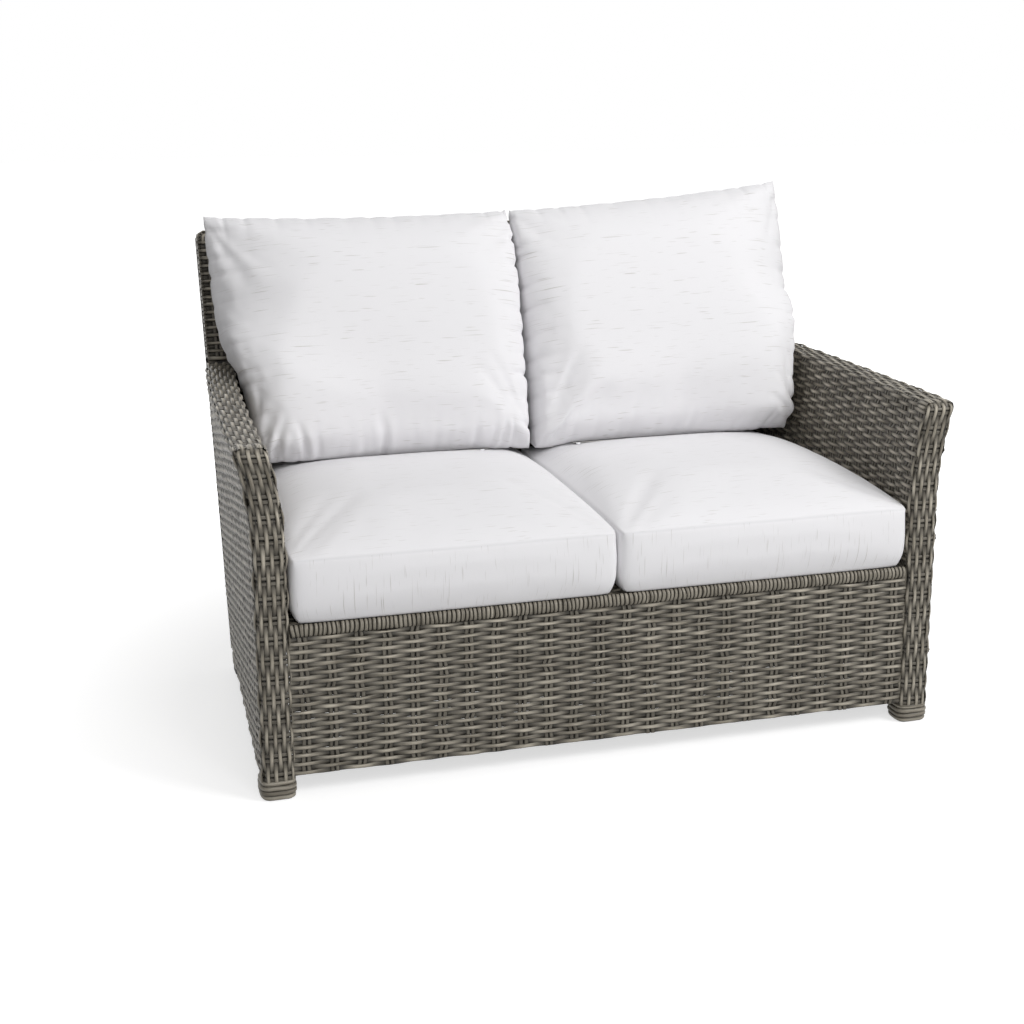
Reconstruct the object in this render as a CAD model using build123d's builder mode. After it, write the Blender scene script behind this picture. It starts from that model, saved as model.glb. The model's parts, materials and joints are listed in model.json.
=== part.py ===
import os
from math import cos, radians, sin, sqrt, tan

from build123d import *

os.makedirs("parts", exist_ok=True)

# A two-seat garden loveseat: a welded tube frame, skinned in woven resin strand, with two box seat
# cushions and two loose knife-edge back cushions. Millimetres, +Z up, +X to the viewer's right, front
# towards -Y, origin on the floor under the middle. "left" and "right" are the viewer's.

# Overall sizes, without the loose cushions
overall_width = 1295.0
overall_depth = 838.0
frame_height = 864.0
arm_height = 612.0
back_rake = 11.5

# Woven skins and the tubes that they are woven on
tube_size = 38.0
tube_wall = 2.0
rail_size = 20.0
rail_wall = 1.5
weave_thickness = 8.0
post_wrap_wall = 10.0
weave_slack = 0.3
arm_rail_slack = 0.5
stake_slack = 0.8
stake_width = 10.0

# Plan and flare of the arms
arm_flare = 24.0
flare_start_height = 430.0
back_half_bottom = 588.0
back_half_top = 601.0
skin_bottom_height = 38.0
arm_cap_height = 10.0
arm_edge_radius = 8.0
post_edge_radius = 15.0
back_cap_height = 14.0
back_edge_radius = 11.0

# Seat deck and apron
deck_height = 306.0
deck_thickness = 6.0
deck_bearing = 12.0
apron_setback = 7.0
apron_roll_height = 22.0
apron_roll_depth = 13.0
apron_roll_radius = 7.0
slat_width = 40.0
slat_thickness = 6.0
slat_count = 7
bearer_width = 25.0
bearer_height = 32.0
back_stake_pitch = 110.0
arm_stake_pitch = 110.0
arm_stake_count = 5

# Feet
glide_height = 8.0
glide_inset = 3.0
glide_radius = 12.0
glide_plug_height = 20.0
glide_plug_size = 26.0
screw_diameter = 5.0
screw_length = 22.0
screw_head_diameter = 10.0
screw_head_height = 3.0
screw_recess = 1.0
screw_clearance = 0.2

# Seat cushions
cushion_gap = 2.0
seat_split_x = 8.0
seat_side_clearance = 1.0
seat_front_inset = 1.0
seat_rear_gap = 18.0
seat_seam_height = 105.0
seat_seam_rise = 13.0
seat_crown = 30.0
seat_edge_crown = 2.0
seat_side_bulge = 3.0
seat_corner_draw = 9.0
seat_float = 0.3

# Back cushions
pillow_split_x = 6.0
pillow_tilt = 21.5
pillow_height = 482.0
pillow_front_fill = 94.0
pillow_back_fill = 110.0
pillow_edge = 10.0
pillow_lean_clearance = 6.0
pillow_rest_gap = 0.5
pillow_inner_draw = 7.0
pillow_outer_draw = 36.0
pillow_side_inset = 10.0
pillow_corner_rises = {"right": 45.0, "left": 4.0}

# Covers, fills and zips
cover_thickness = 1.2
cover_clearance = 0.8
seam_allowance = 14.0
zip_width = 6.0
zip_thickness = 1.2
zip_clearance = 0.3
seat_zip_length = 420.0
pillow_zip_length = 330.0
slider_length = 10.0
slider_width = 8.0
slider_height = 2.0
bridge_diameter = 1.6
bridge_rise = 2.2
lug_width = 0.8
pull_length = 16.0
pull_width = 4.6
pull_thickness = 0.9
pull_barrel_diameter = 3.6
pull_eye_clearance = 0.1

# One overrun for everything that is cut or trimmed away
cut_overrun = 80.0

# Places that follow from the sizes above
front_y = -overall_depth / 2
front_half = overall_width / 2 - arm_flare
post_wrap_size = tube_size + 2 * (weave_slack + post_wrap_wall)
post_x = front_half - post_wrap_size / 2
post_y = front_y + post_wrap_size / 2
post_back_y = front_y + post_wrap_size
panel_thickness = tube_size + 2 * weave_thickness
arm_top = arm_height - arm_cap_height
seat_rail_top = deck_height - deck_thickness
seat_rail_bottom = seat_rail_top - tube_size
base_rail_top = skin_bottom_height + rail_size

# The back is one flat panel that leans back. Its own plane has u along X, v up the lean and d forward
# from the rear face. The rounded top edge sets the height and the rearmost point of the frame.
rake_sin = sin(radians(back_rake))
rake_cos = cos(radians(back_rake))
rake_tan = tan(radians(back_rake))
top_v = (
    frame_height - back_edge_radius - (panel_thickness - back_edge_radius) * rake_sin
) / rake_cos + back_edge_radius
back_foot_y = (
    overall_depth / 2
    - back_edge_radius
    - (top_v - back_edge_radius) * rake_sin
    + back_edge_radius * rake_cos
)
cap_v = top_v - back_cap_height


def back_plane(d):
    """The back panel's plane at d in front of its rear face, facing forward."""
    return Plane(
        origin=(0, back_foot_y - d * rake_cos, d * rake_sin),
        x_dir=(1, 0, 0),
        z_dir=(0, -rake_cos, rake_sin),
    )


def back_v(height, d):
    """How far up the lean a height is, at depth d."""
    return (height - d * rake_sin) / rake_cos


def back_y(height, d):
    """The place in Y of the panel at a height, at depth d."""
    return back_foot_y + height * rake_tan - d / rake_cos


def back_half(height):
    """Half the width of the back at a height: it widens a little upwards."""
    share = (height - skin_bottom_height) / (frame_height - skin_bottom_height)
    return back_half_bottom + (back_half_top - back_half_bottom) * share


def side_share(y, height):
    """0 behind the front post, 1 at the rear face of the back."""
    return (y - post_back_y) / (back_y(height, 0) - post_back_y)


def side_x(y, height):
    """The outer face of the side below the flare: it draws in towards the back."""
    return front_half - (front_half - back_half(height)) * side_share(y, height)


def flare_shift(height):
    """How far the front of an arm has leaned outwards at a height, along its arc."""
    rise = arm_top - flare_start_height
    radius = (arm_flare**2 + rise**2) / (2 * arm_flare)
    above = max(0.0, height - flare_start_height)
    return radius - sqrt(radius**2 - above**2)


def flare_share(y):
    """The flare fades to nothing where the arm turns into the back."""
    share = min(1.0, max(0.0, side_share(y, arm_top)))
    return 1.0 - share**3


def arm_x(y, height):
    """The outer face of the arm at a height."""
    return side_x(y, height) + flare_share(y) * flare_shift(height)


def save(piece, name):
    """Labels a finished piece and writes it."""
    piece.label = name
    export_step(piece, f"parts/{name}.step")


def save_pair(piece, name):
    """Writes a right-hand piece and its mirror image on the left."""
    save(piece, f"{name}_right")
    with BuildPart() as other_hand:
        mirror(piece, about=Plane.YZ)
    save(other_hand.part, f"{name}_left")


def mirrored(piece):
    """The left-hand twin of a right-hand piece."""
    with BuildPart() as twin:
        mirror(piece, about=Plane.YZ)
    return twin.part


# Front posts: upright to the flare, then bent outwards along an arc
def flared_post(half_size, bottom, top):
    """A post of square section about the front post's centre line."""
    shift = flare_shift(top)
    with BuildPart() as post:
        with BuildSketch(Plane.XZ.offset(-(post_y - half_size))):
            with BuildLine():
                left_x, right_x = post_x - half_size, post_x + half_size
                Line((left_x, bottom), (left_x, flare_start_height))
                TangentArc(
                    (left_x, flare_start_height), (left_x + shift, top), tangent=(0, 1)
                )
                Line((left_x + shift, top), (right_x + shift, top))
                TangentArc(
                    (right_x, flare_start_height), (right_x + shift, top), tangent=(0, 1)
                )
                Line((right_x, flare_start_height), (right_x, bottom))
                Line((right_x, bottom), (left_x, bottom))
            make_face()
        extrude(amount=-2 * half_size)
    return post.part


front_post_envelope = flared_post(tube_size / 2, glide_height, arm_top)
with BuildPart() as front_post_tube:
    add(front_post_envelope)
    add(flared_post(tube_size / 2 - tube_wall, glide_height, arm_top), mode=Mode.SUBTRACT)
save_pair(front_post_tube.part, "front_post_tube")


# Rear posts: straight tubes inside the leaning back, drawn in a little towards the floor
def rear_post(inset, top):
    """A rear post whose faces lie inset inside the tube's own."""
    low_v, high_v = -cut_overrun, top
    with BuildPart() as post:
        with BuildSketch(back_plane(weave_thickness + inset)):
            with BuildLine():
                outer_low = back_half(low_v * rake_cos) - weave_thickness - inset
                outer_high = back_half(high_v * rake_cos) - weave_thickness - inset
                width = tube_size - 2 * inset
                Polyline(
                    (outer_low, low_v),
                    (outer_high, high_v),
                    (outer_high - width, high_v),
                    (outer_low - width, low_v),
                    close=True,
                )
            make_face()
        extrude(amount=tube_size - 2 * inset)
        split(bisect_by=Plane.XY.offset(glide_height), keep=Keep.TOP)
    return post.part


rear_post_envelope = rear_post(0, cap_v)
with BuildPart() as rear_post_tube:
    add(rear_post_envelope)
    add(rear_post(tube_wall, cap_v), mode=Mode.SUBTRACT)
save_pair(rear_post_tube.part, "rear_post_tube")
posts = [
    front_post_envelope,
    mirrored(front_post_envelope),
    rear_post_envelope,
    mirrored(rear_post_envelope),
]


# Rails between the posts
def side_bar(outer_gap, size, top, inset, stations):
    """A bar along a side, leaning with the skin: its outer face lies outer_gap inside the skin's."""
    high, low = top - inset, top - size + inset
    with BuildPart() as bar:
        for y in stations:
            outer_high = arm_x(y, high) - outer_gap - inset
            outer_low = arm_x(y, low) - outer_gap - inset
            width = size - 2 * inset
            with BuildSketch(Plane.XZ.offset(-y)):
                with BuildLine():
                    Polyline(
                        (outer_high, high),
                        (outer_low, low),
                        (outer_low - width, low),
                        (outer_high - width, high),
                        close=True,
                    )
                make_face()
        loft()
    return bar.part


side_start = post_y + tube_size / 2
arm_stake_ys = [
    post_back_y + arm_stake_pitch * (count + 1) for count in range(arm_stake_count)
]
arm_stations = [
    post_back_y,
    *arm_stake_ys,
    arm_stake_ys[-1] + arm_stake_pitch,
    back_y(arm_height, 0) + cut_overrun,
]
straight_stations = [side_start, back_y(seat_rail_top, 0)]


def side_rail(name, outer_gap, size, wall, top, stations):
    """A hollow rail from the front post to the rear post, coped to the rear post."""
    envelope = side_bar(outer_gap, size, top, 0, stations)
    with BuildPart() as coped:
        add(envelope)
        add(rear_post_envelope, mode=Mode.SUBTRACT)
        split(bisect_by=back_plane(weave_thickness + size / 2), keep=Keep.TOP)
    with BuildPart() as rail:
        add(coped.part)
        add(side_bar(outer_gap, size, top, wall, stations), mode=Mode.SUBTRACT)
    save_pair(rail.part, name)
    return coped.part


rail_gap = weave_thickness + weave_slack
seat_side_envelope = side_rail(
    "seat_side_rail", rail_gap, tube_size, tube_wall, seat_rail_top, straight_stations
)
base_side_envelope = side_rail(
    "base_side_rail", rail_gap, rail_size, rail_wall, base_rail_top, straight_stations
)
arm_rail_envelope = side_rail(
    "arm_top_rail",
    weave_thickness + arm_rail_slack,
    tube_size - 2 * arm_rail_slack,
    tube_wall,
    arm_top,
    [side_start, *arm_stations[1:]],
)


with BuildPart() as between_posts:
    Box(2 * (post_x - tube_size / 2), 2 * overall_depth, 2 * frame_height)


def cross_rail(plane, height, low, depth, wall):
    """A hollow rail across the seat between the posts, extruded forward or back from a plane."""
    with BuildPart() as envelope:
        with BuildSketch(plane):
            with Locations((0, low + height / 2)):
                Rectangle(2 * front_half, height)
        extrude(amount=depth)
        for post in posts:
            add(post, mode=Mode.SUBTRACT)
        add(between_posts.part, mode=Mode.INTERSECT)
    with BuildPart() as rail:
        add(envelope.part)
        with BuildSketch(plane.offset(wall)):
            with Locations((0, low + height / 2)):
                Rectangle(2 * front_half, height - 2 * wall)
        extrude(amount=depth - 2 * wall, mode=Mode.SUBTRACT)
    return envelope.part, rail.part


# The apron's rails stand just behind the woven apron, which is set back from the posts
apron_back_y = front_y + apron_setback + weave_thickness
apron_plane = Plane.XZ.offset(-apron_back_y)
seat_front_envelope, seat_front_rail = cross_rail(
    Plane.XZ.offset(-apron_back_y - tube_size), tube_size, seat_rail_bottom, tube_size, tube_wall
)
save(seat_front_rail, "seat_front_rail")
base_front_envelope, base_front_rail = cross_rail(
    Plane.XZ.offset(-apron_back_y - rail_size), rail_size, skin_bottom_height, rail_size, rail_wall
)
save(base_front_rail, "base_front_rail")
seat_rear_top_v = back_v(seat_rail_top, weave_thickness + tube_size)
seat_rear_envelope, seat_rear_rail = cross_rail(
    back_plane(weave_thickness), tube_size, seat_rear_top_v - tube_size, tube_size, tube_wall
)
save(seat_rear_rail, "seat_rear_rail")
base_rear_low_v = back_v(skin_bottom_height, 0)
base_rear_envelope, base_rear_rail = cross_rail(
    back_plane(weave_thickness), rail_size, base_rear_low_v, rail_size, rail_wall
)
save(base_rear_rail, "base_rear_rail")
back_top_envelope, back_top_rail = cross_rail(
    back_plane(weave_thickness), tube_size, cap_v - tube_size, tube_size, tube_wall
)
save(back_top_rail, "back_top_rail")

# Bearer and slats under the deck
bearer_front_y = apron_back_y + tube_size
with BuildPart() as seat_center_bearer:
    with BuildSketch(Plane.XZ.offset(-bearer_front_y)):
        with Locations((0, seat_rail_top - slat_thickness - bearer_height / 2)):
            Rectangle(bearer_width, bearer_height)
    extrude(amount=bearer_front_y - back_y(seat_rail_top, 0))
    split(bisect_by=back_plane(weave_thickness + tube_size), keep=Keep.TOP)
save(seat_center_bearer.part, "seat_center_bearer")

slat_first_y = bearer_front_y + slat_width
slat_last_y = back_y(seat_rail_top, panel_thickness) - slat_width
slat_step = (slat_last_y - slat_first_y) / (slat_count - 1)
with BuildPart() as between_rails:
    with BuildSketch(Plane.XY.offset(seat_rail_bottom)):
        with BuildLine():
            front_in = side_x(side_start, seat_rail_top) - panel_thickness + weave_thickness
            rear_in = side_x(slat_last_y + slat_width, seat_rail_top) - panel_thickness
            rear_in += weave_thickness
            Polyline(
                (-front_in, side_start),
                (front_in, side_start),
                (rear_in, slat_last_y + slat_width),
                (-rear_in, slat_last_y + slat_width),
                close=True,
            )
        make_face()
    extrude(amount=tube_size + deck_thickness)

with BuildPart() as seat_slats:
    for count in range(slat_count):
        slat_y = slat_first_y + count * slat_step
        with BuildSketch(Plane.XY.offset(seat_rail_top - slat_thickness)):
            with Locations((0, slat_y)):
                Rectangle(2 * front_half, slat_width)
        extrude(amount=slat_thickness)
    for envelope in (seat_side_envelope, mirrored(seat_side_envelope)):
        add(envelope, mode=Mode.SUBTRACT)
    add(between_rails.part, mode=Mode.INTERSECT)
save(seat_slats.part, "seat_slats")


# Stakes: flat bars that hold the two skins of a panel apart and that the strands go round
def flared_stake(y, outer_gap, depth, bottom, top):
    """A flat bar at one place along an arm, bent like the arm there."""
    bend = flare_share(y) * flare_shift(top)
    with BuildPart() as stake:
        with BuildSketch(Plane.XZ.offset(-(y - stake_width / 2))):
            with BuildLine():
                outer_low = side_x(y, bottom) - outer_gap
                outer_knee = side_x(y, flare_start_height) - outer_gap
                outer_top = side_x(y, top) + bend - outer_gap
                lean = (outer_knee - outer_low, flare_start_height - bottom)
                for offset in (0, depth):
                    Line((outer_low - offset, bottom), (outer_knee - offset, flare_start_height))
                    TangentArc(
                        (outer_knee - offset, flare_start_height),
                        (outer_top - offset, top),
                        tangent=lean,
                    )
                Line((outer_low, bottom), (outer_low - depth, bottom))
                Line((outer_top, top), (outer_top - depth, top))
            make_face()
        extrude(amount=-stake_width)
    return stake.part


stake_gap = weave_thickness + stake_slack
stake_depth = tube_size - 2 * stake_slack
with BuildPart() as arm_stakes:
    for y in arm_stake_ys:
        add(
            flared_stake(
                y,
                stake_gap,
                stake_depth,
                deck_height,
                arm_top - tube_size + 2 * arm_rail_slack,
            )
        )
    for y in arm_stake_ys:
        low_x = side_x(y, base_rail_top) - stake_gap
        high_x = side_x(y, seat_rail_bottom) - stake_gap
        with BuildSketch(Plane.XZ.offset(-(y - stake_width / 2))):
            with BuildLine():
                Polyline(
                    (low_x, base_rail_top),
                    (high_x, seat_rail_bottom),
                    (high_x - rail_size, seat_rail_bottom),
                    (low_x - rail_size, base_rail_top),
                    close=True,
                )
            make_face()
        extrude(amount=-stake_width)
save_pair(arm_stakes.part, "arm_stakes")

deck_rear_d = weave_thickness + tube_size - deck_bearing
back_stake_count = int(2 * (back_half_bottom - panel_thickness) / back_stake_pitch)
with BuildPart() as back_stakes:
    for low_v, high_v, depth in (
        (back_v(deck_height, deck_rear_d), cap_v - tube_size, tube_size),
        (base_rear_low_v + rail_size, seat_rear_top_v - tube_size, rail_size),
    ):
        with BuildSketch(back_plane(weave_thickness)):
            with Locations((0, (low_v + high_v) / 2)):
                with GridLocations(back_stake_pitch, stake_width, back_stake_count, 1):
                    Rectangle(stake_width, high_v - low_v)
        extrude(amount=depth)
save(back_stakes.part, "back_stakes")

with BuildPart() as apron_stakes:
    with BuildSketch(apron_plane):
        with Locations((0, (base_rail_top + seat_rail_bottom) / 2)):
            with GridLocations(back_stake_pitch, stake_width, back_stake_count, 1):
                Rectangle(stake_width, seat_rail_bottom - base_rail_top)
    extrude(amount=-rail_size)
save(apron_stakes.part, "apron_stakes")

# Woven skins of the apron and the deck
apron_half = post_x - post_wrap_size / 2
apron_roll_bottom = deck_height - apron_roll_height
with BuildPart() as front_apron_weave:
    with BuildSketch(apron_plane):
        with Locations((0, (skin_bottom_height + apron_roll_bottom) / 2)):
            Rectangle(2 * apron_half, apron_roll_bottom - skin_bottom_height)
    extrude(amount=weave_thickness)
save(front_apron_weave.part, "front_apron_weave")

with BuildPart() as apron_edge_roll:
    with BuildSketch(apron_plane):
        with Locations((0, apron_roll_bottom + apron_roll_height / 2)):
            Rectangle(2 * apron_half, apron_roll_height)
    extrude(amount=apron_roll_depth)
    front_edges = apron_edge_roll.edges().filter_by(Axis.X).group_by(Axis.Y)[0]
    fillet(front_edges, radius=apron_roll_radius)
save(apron_edge_roll.part, "apron_edge_roll")

deck_rear_y = back_y(deck_height, deck_rear_d)
with BuildPart() as seat_deck_weave:
    with BuildSketch(Plane.XY.offset(seat_rail_top)):
        with BuildLine():
            front_in = side_x(post_back_y, deck_height) - panel_thickness
            front_in += weave_thickness + deck_bearing
            rear_in = side_x(deck_rear_y, deck_height) - panel_thickness
            Polyline(
                (-apron_half, apron_back_y),
                (apron_half, apron_back_y),
                (apron_half, post_back_y),
                (front_in, post_back_y),
                (rear_in + weave_thickness + deck_bearing, back_y(deck_height, panel_thickness)),
                (rear_in, back_y(deck_height, panel_thickness)),
                (rear_in, deck_rear_y),
                (-rear_in, deck_rear_y),
                (-rear_in, back_y(deck_height, panel_thickness)),
                (-rear_in - weave_thickness - deck_bearing, back_y(deck_height, panel_thickness)),
                (-front_in, post_back_y),
                (-apron_half, post_back_y),
                close=True,
            )
        make_face()
    extrude(amount=deck_thickness)
save(seat_deck_weave.part, "seat_deck_weave")


# Woven skins of the back
with BuildPart() as back_outer_weave:
    with BuildSketch(back_plane(0)):
        with BuildLine():
            Polyline(
                (back_half(skin_bottom_height), back_v(skin_bottom_height, 0)),
                (back_half(cap_v * rake_cos), cap_v),
                (-back_half(cap_v * rake_cos), cap_v),
                (-back_half(skin_bottom_height), back_v(skin_bottom_height, 0)),
                close=True,
            )
        make_face()
    extrude(amount=weave_thickness)
save(back_outer_weave.part, "back_outer_weave")

with BuildPart() as back_inner_weave:
    with BuildSketch(back_plane(weave_thickness + tube_size)):
        with BuildLine():
            low_v = back_v(deck_height, weave_thickness + tube_size)
            step_v = back_v(arm_height, weave_thickness + tube_size)
            low_half = back_half(deck_height) - panel_thickness
            step_half = back_half(arm_height) - panel_thickness
            Polyline(
                (low_half, low_v),
                (step_half, step_v),
                (back_half(arm_height), step_v),
                (back_half(cap_v * rake_cos), cap_v),
                (-back_half(cap_v * rake_cos), cap_v),
                (-back_half(arm_height), step_v),
                (-step_half, step_v),
                (-low_half, low_v),
                close=True,
            )
        make_face()
    extrude(amount=weave_thickness)
save(back_inner_weave.part, "back_inner_weave")

with BuildPart() as back_top_wrap:
    with BuildSketch(back_plane(0)):
        with Locations((0, cap_v + back_cap_height / 2)):
            Rectangle(2 * back_half(frame_height), back_cap_height)
    extrude(amount=panel_thickness)
    top_edges = back_top_wrap.edges().filter_by(Axis.X).sort_by(Axis.Z)[-1:]
    rear_edges = back_top_wrap.edges().filter_by(Axis.X).sort_by(Axis.Y)[-1:]
    fillet(top_edges + rear_edges, radius=back_edge_radius)
save(back_top_wrap.part, "back_top_wrap")

with BuildPart() as back_side_wrap:
    with BuildSketch(back_plane(weave_thickness)):
        with BuildLine():
            low_v = back_v(arm_height, weave_thickness)
            low_half, high_half = back_half(arm_height), back_half(cap_v * rake_cos)
            Polyline(
                (low_half, low_v),
                (high_half, cap_v),
                (high_half - weave_thickness, cap_v),
                (low_half - weave_thickness, low_v),
                close=True,
            )
        make_face()
    extrude(amount=tube_size)
save_pair(back_side_wrap.part, "back_side_wrap")


# Woven skins of the arms
def arm_skin(outer_gap, bottom):
    """A skin of the arm, outer_gap inside the outer face, lofted from front to back."""
    with BuildPart() as skin:
        for y in arm_stations:
            with BuildSketch(Plane.XZ.offset(-y)):
                with BuildLine():
                    low = side_x(y, bottom) - outer_gap
                    knee = side_x(y, flare_start_height) - outer_gap
                    top = arm_x(y, arm_top) - outer_gap
                    lean = (knee - low, flare_start_height - bottom)
                    for offset in (0, weave_thickness):
                        Line((low - offset, bottom), (knee - offset, flare_start_height))
                        TangentArc(
                            (knee - offset, flare_start_height),
                            (top - offset, arm_top),
                            tangent=lean,
                        )
                    Line((low, bottom), (low - weave_thickness, bottom))
                    Line((top, arm_top), (top - weave_thickness, arm_top))
                make_face()
        loft()
    return skin.part


with BuildPart() as arm_outer_weave:
    add(arm_skin(0, skin_bottom_height))
    split(bisect_by=back_plane(weave_thickness), keep=Keep.TOP)
save_pair(arm_outer_weave.part, "arm_outer_weave")

with BuildPart() as arm_inner_weave:
    add(arm_skin(panel_thickness - weave_thickness, deck_height))
    split(bisect_by=back_plane(weave_thickness + tube_size), keep=Keep.TOP)
save_pair(arm_inner_weave.part, "arm_inner_weave")

with BuildPart() as back_block:
    with BuildSketch(back_plane(-cut_overrun)):
        with BuildLine():
            low_v, high_v = back_v(deck_height, 0), cap_v
            Polyline(
                (0, low_v),
                (back_half(deck_height), low_v),
                (back_half(frame_height), high_v),
                (0, high_v),
                close=True,
            )
        make_face()
    extrude(amount=panel_thickness + cut_overrun)

with BuildPart() as arm_top_wrap:
    for y in (front_y, *arm_stations):
        outer = arm_x(max(y, post_back_y), arm_top)
        inner = outer - post_wrap_size
        with BuildSketch(Plane.XZ.offset(-y)):
            with BuildLine():
                shoulder = arm_height - arm_edge_radius
                Line((inner, arm_top), (outer, arm_top))
                Line((outer, arm_top), (outer, shoulder))
                TangentArc((outer, shoulder), (outer - arm_edge_radius, arm_height), tangent=(0, 1))
                Line((outer - arm_edge_radius, arm_height), (inner + arm_edge_radius, arm_height))
                TangentArc((inner, shoulder), (inner + arm_edge_radius, arm_height), tangent=(0, 1))
                Line((inner, shoulder), (inner, arm_top))
            make_face()
    loft(ruled=True)
    split(bisect_by=back_plane(weave_thickness), keep=Keep.TOP)
    add(back_block.part, mode=Mode.SUBTRACT)
save_pair(arm_top_wrap.part, "arm_top_wrap")

# Post wraps, which end as the woven front feet; the rails come out through them
with BuildPart() as front_post_wrap:
    add(flared_post(post_wrap_size / 2, glide_height, arm_top))
    front_edges = front_post_wrap.edges().group_by(Axis.Y)[0]
    long_edges = front_edges.filter_by(Axis.X, reverse=True)
    fillet(long_edges, radius=post_edge_radius)
    add(flared_post(tube_size / 2 + weave_slack, glide_height, arm_top), mode=Mode.SUBTRACT)
    for envelope in (
        seat_front_envelope,
        base_front_envelope,
        seat_side_envelope,
        base_side_envelope,
        arm_rail_envelope,
    ):
        add(envelope, mode=Mode.SUBTRACT)
save_pair(front_post_wrap.part, "front_post_wrap")

foot_mid_height = (glide_height + skin_bottom_height) / 2
foot_mid_x = back_half(foot_mid_height) - panel_thickness / 2
with BuildPart() as rear_foot_wraps:
    with BuildSketch(back_plane(0)):
        with Locations((foot_mid_x, skin_bottom_height)):
            Rectangle(panel_thickness, 2 * skin_bottom_height + cut_overrun)
    extrude(amount=panel_thickness)
    long_edges = rear_foot_wraps.edges().filter_by(Plane.YZ).group_by(Edge.length)[-1]
    fillet(long_edges, radius=post_edge_radius)
    with BuildSketch(back_plane(weave_thickness)):
        with Locations((foot_mid_x, skin_bottom_height)):
            Rectangle(tube_size + 2 * weave_slack, 2 * skin_bottom_height + cut_overrun)
    extrude(amount=tube_size, mode=Mode.SUBTRACT)
    split(bisect_by=Plane.XY.offset(glide_height), keep=Keep.TOP)
    split(bisect_by=Plane.XY.offset(skin_bottom_height), keep=Keep.BOTTOM)
    mirror(about=Plane.YZ)
save(rear_foot_wraps.part, "rear_foot_wraps")

# Glides under the four feet, each with a plug up the tube and a screw through it
rear_foot_x = back_half(0) - panel_thickness / 2
rear_foot_y = back_y(glide_height, panel_thickness / 2)
foot_places = [
    (sign * x, y) for x, y in ((post_x, post_y), (rear_foot_x, rear_foot_y)) for sign in (-1, 1)
]
with BuildPart() as foot_glides:
    with BuildSketch(Plane.XY):
        with Locations(*foot_places):
            RectangleRounded(
                panel_thickness - glide_inset, panel_thickness - glide_inset, radius=glide_radius
            )
    extrude(amount=glide_height)
    with BuildSketch(Plane.XY.offset(glide_height)):
        with Locations(*foot_places):
            Rectangle(glide_plug_size, glide_plug_size)
    extrude(amount=glide_plug_height)
    with BuildSketch(Plane.XY):
        with Locations(*foot_places):
            Circle(screw_head_diameter / 2 + screw_clearance)
    extrude(amount=screw_recess + screw_head_height, mode=Mode.SUBTRACT)
    with BuildSketch(Plane.XY):
        with Locations(*foot_places):
            Circle(screw_diameter / 2 + screw_clearance)
    extrude(amount=screw_recess + screw_length + screw_clearance, mode=Mode.SUBTRACT)
save(foot_glides.part, "foot_glides")

with BuildPart() as foot_glide_screws:
    with BuildSketch(Plane.XY.offset(screw_recess)):
        with Locations(*foot_places):
            Circle(screw_head_diameter / 2)
    extrude(amount=screw_head_height)
    with BuildSketch(Plane.XY.offset(screw_recess)):
        with Locations(*foot_places):
            Circle(screw_diameter / 2)
    extrude(amount=screw_length)
save(foot_glide_screws.part, "foot_glide_screws")

# Seat cushions: box cushions, highest in the middle, lower seams at the front, corners drawn in.
# Along the depth from front to rear, as shares: place, seam rise, crown, draw-in of the sides.
seat_station_shares = (0.0, 0.04, 0.13, 0.35, 0.62, 0.835, 0.96, 1.0)
seat_rise_shares = (0.0, 0.5, 0.85, 1.0, 1.0, 0.7, 0.6, 0.5)
seat_crown_shares = (0.0, 0.4, 0.78, 1.0, 0.9, 0.5, 0.2, 0.0)
seat_draw_shares = (1.0, 0.55, 0.15, 0.0, 0.0, 0.15, 0.55, 1.0)
seat_bottom = deck_height + seat_float
seat_front_y = front_y + seat_front_inset
seat_rear_y = back_y(seat_bottom, panel_thickness) - seat_rear_gap
seat_depth = seat_rear_y - seat_front_y
seat_pillow_index = 5


def seat_top(index):
    """The highest point of the seat cushion at one of its stations."""
    rise = seat_seam_rise * seat_rise_shares[index]
    crown = seat_edge_crown + seat_crown * seat_crown_shares[index]
    return seat_bottom + seat_seam_height + rise + crown


def seat_body(inner_x, inset):
    """The right seat cushion's outer form, or one that lies inset inside it."""
    with BuildPart() as body:
        for index, share in enumerate(seat_station_shares):
            full_y = seat_front_y + share * seat_depth
            y = seat_front_y + inset + share * (seat_depth - 2 * inset)
            draw = seat_corner_draw * seat_draw_shares[index] + seat_side_bulge + inset
            near = inner_x + draw
            wall_x = min(side_x(full_y, deck_height) - panel_thickness, apron_half)
            far = wall_x - seat_side_clearance - draw
            low = seat_bottom + inset
            high = seat_bottom + seat_seam_height - inset
            high += seat_seam_rise * seat_rise_shares[index]
            peak = seat_top(index) - inset
            middle = (low + high) / 2
            with BuildSketch(Plane.XZ.offset(-y)):
                with BuildLine():
                    Line((near, low), (far, low))
                    ThreePointArc((far, low), (far + seat_side_bulge, middle), (far, high))
                    ThreePointArc((far, high), ((near + far) / 2, peak), (near, high))
                    ThreePointArc((near, high), (near - seat_side_bulge, middle), (near, low))
                make_face()
        loft()
    return body.part


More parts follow.
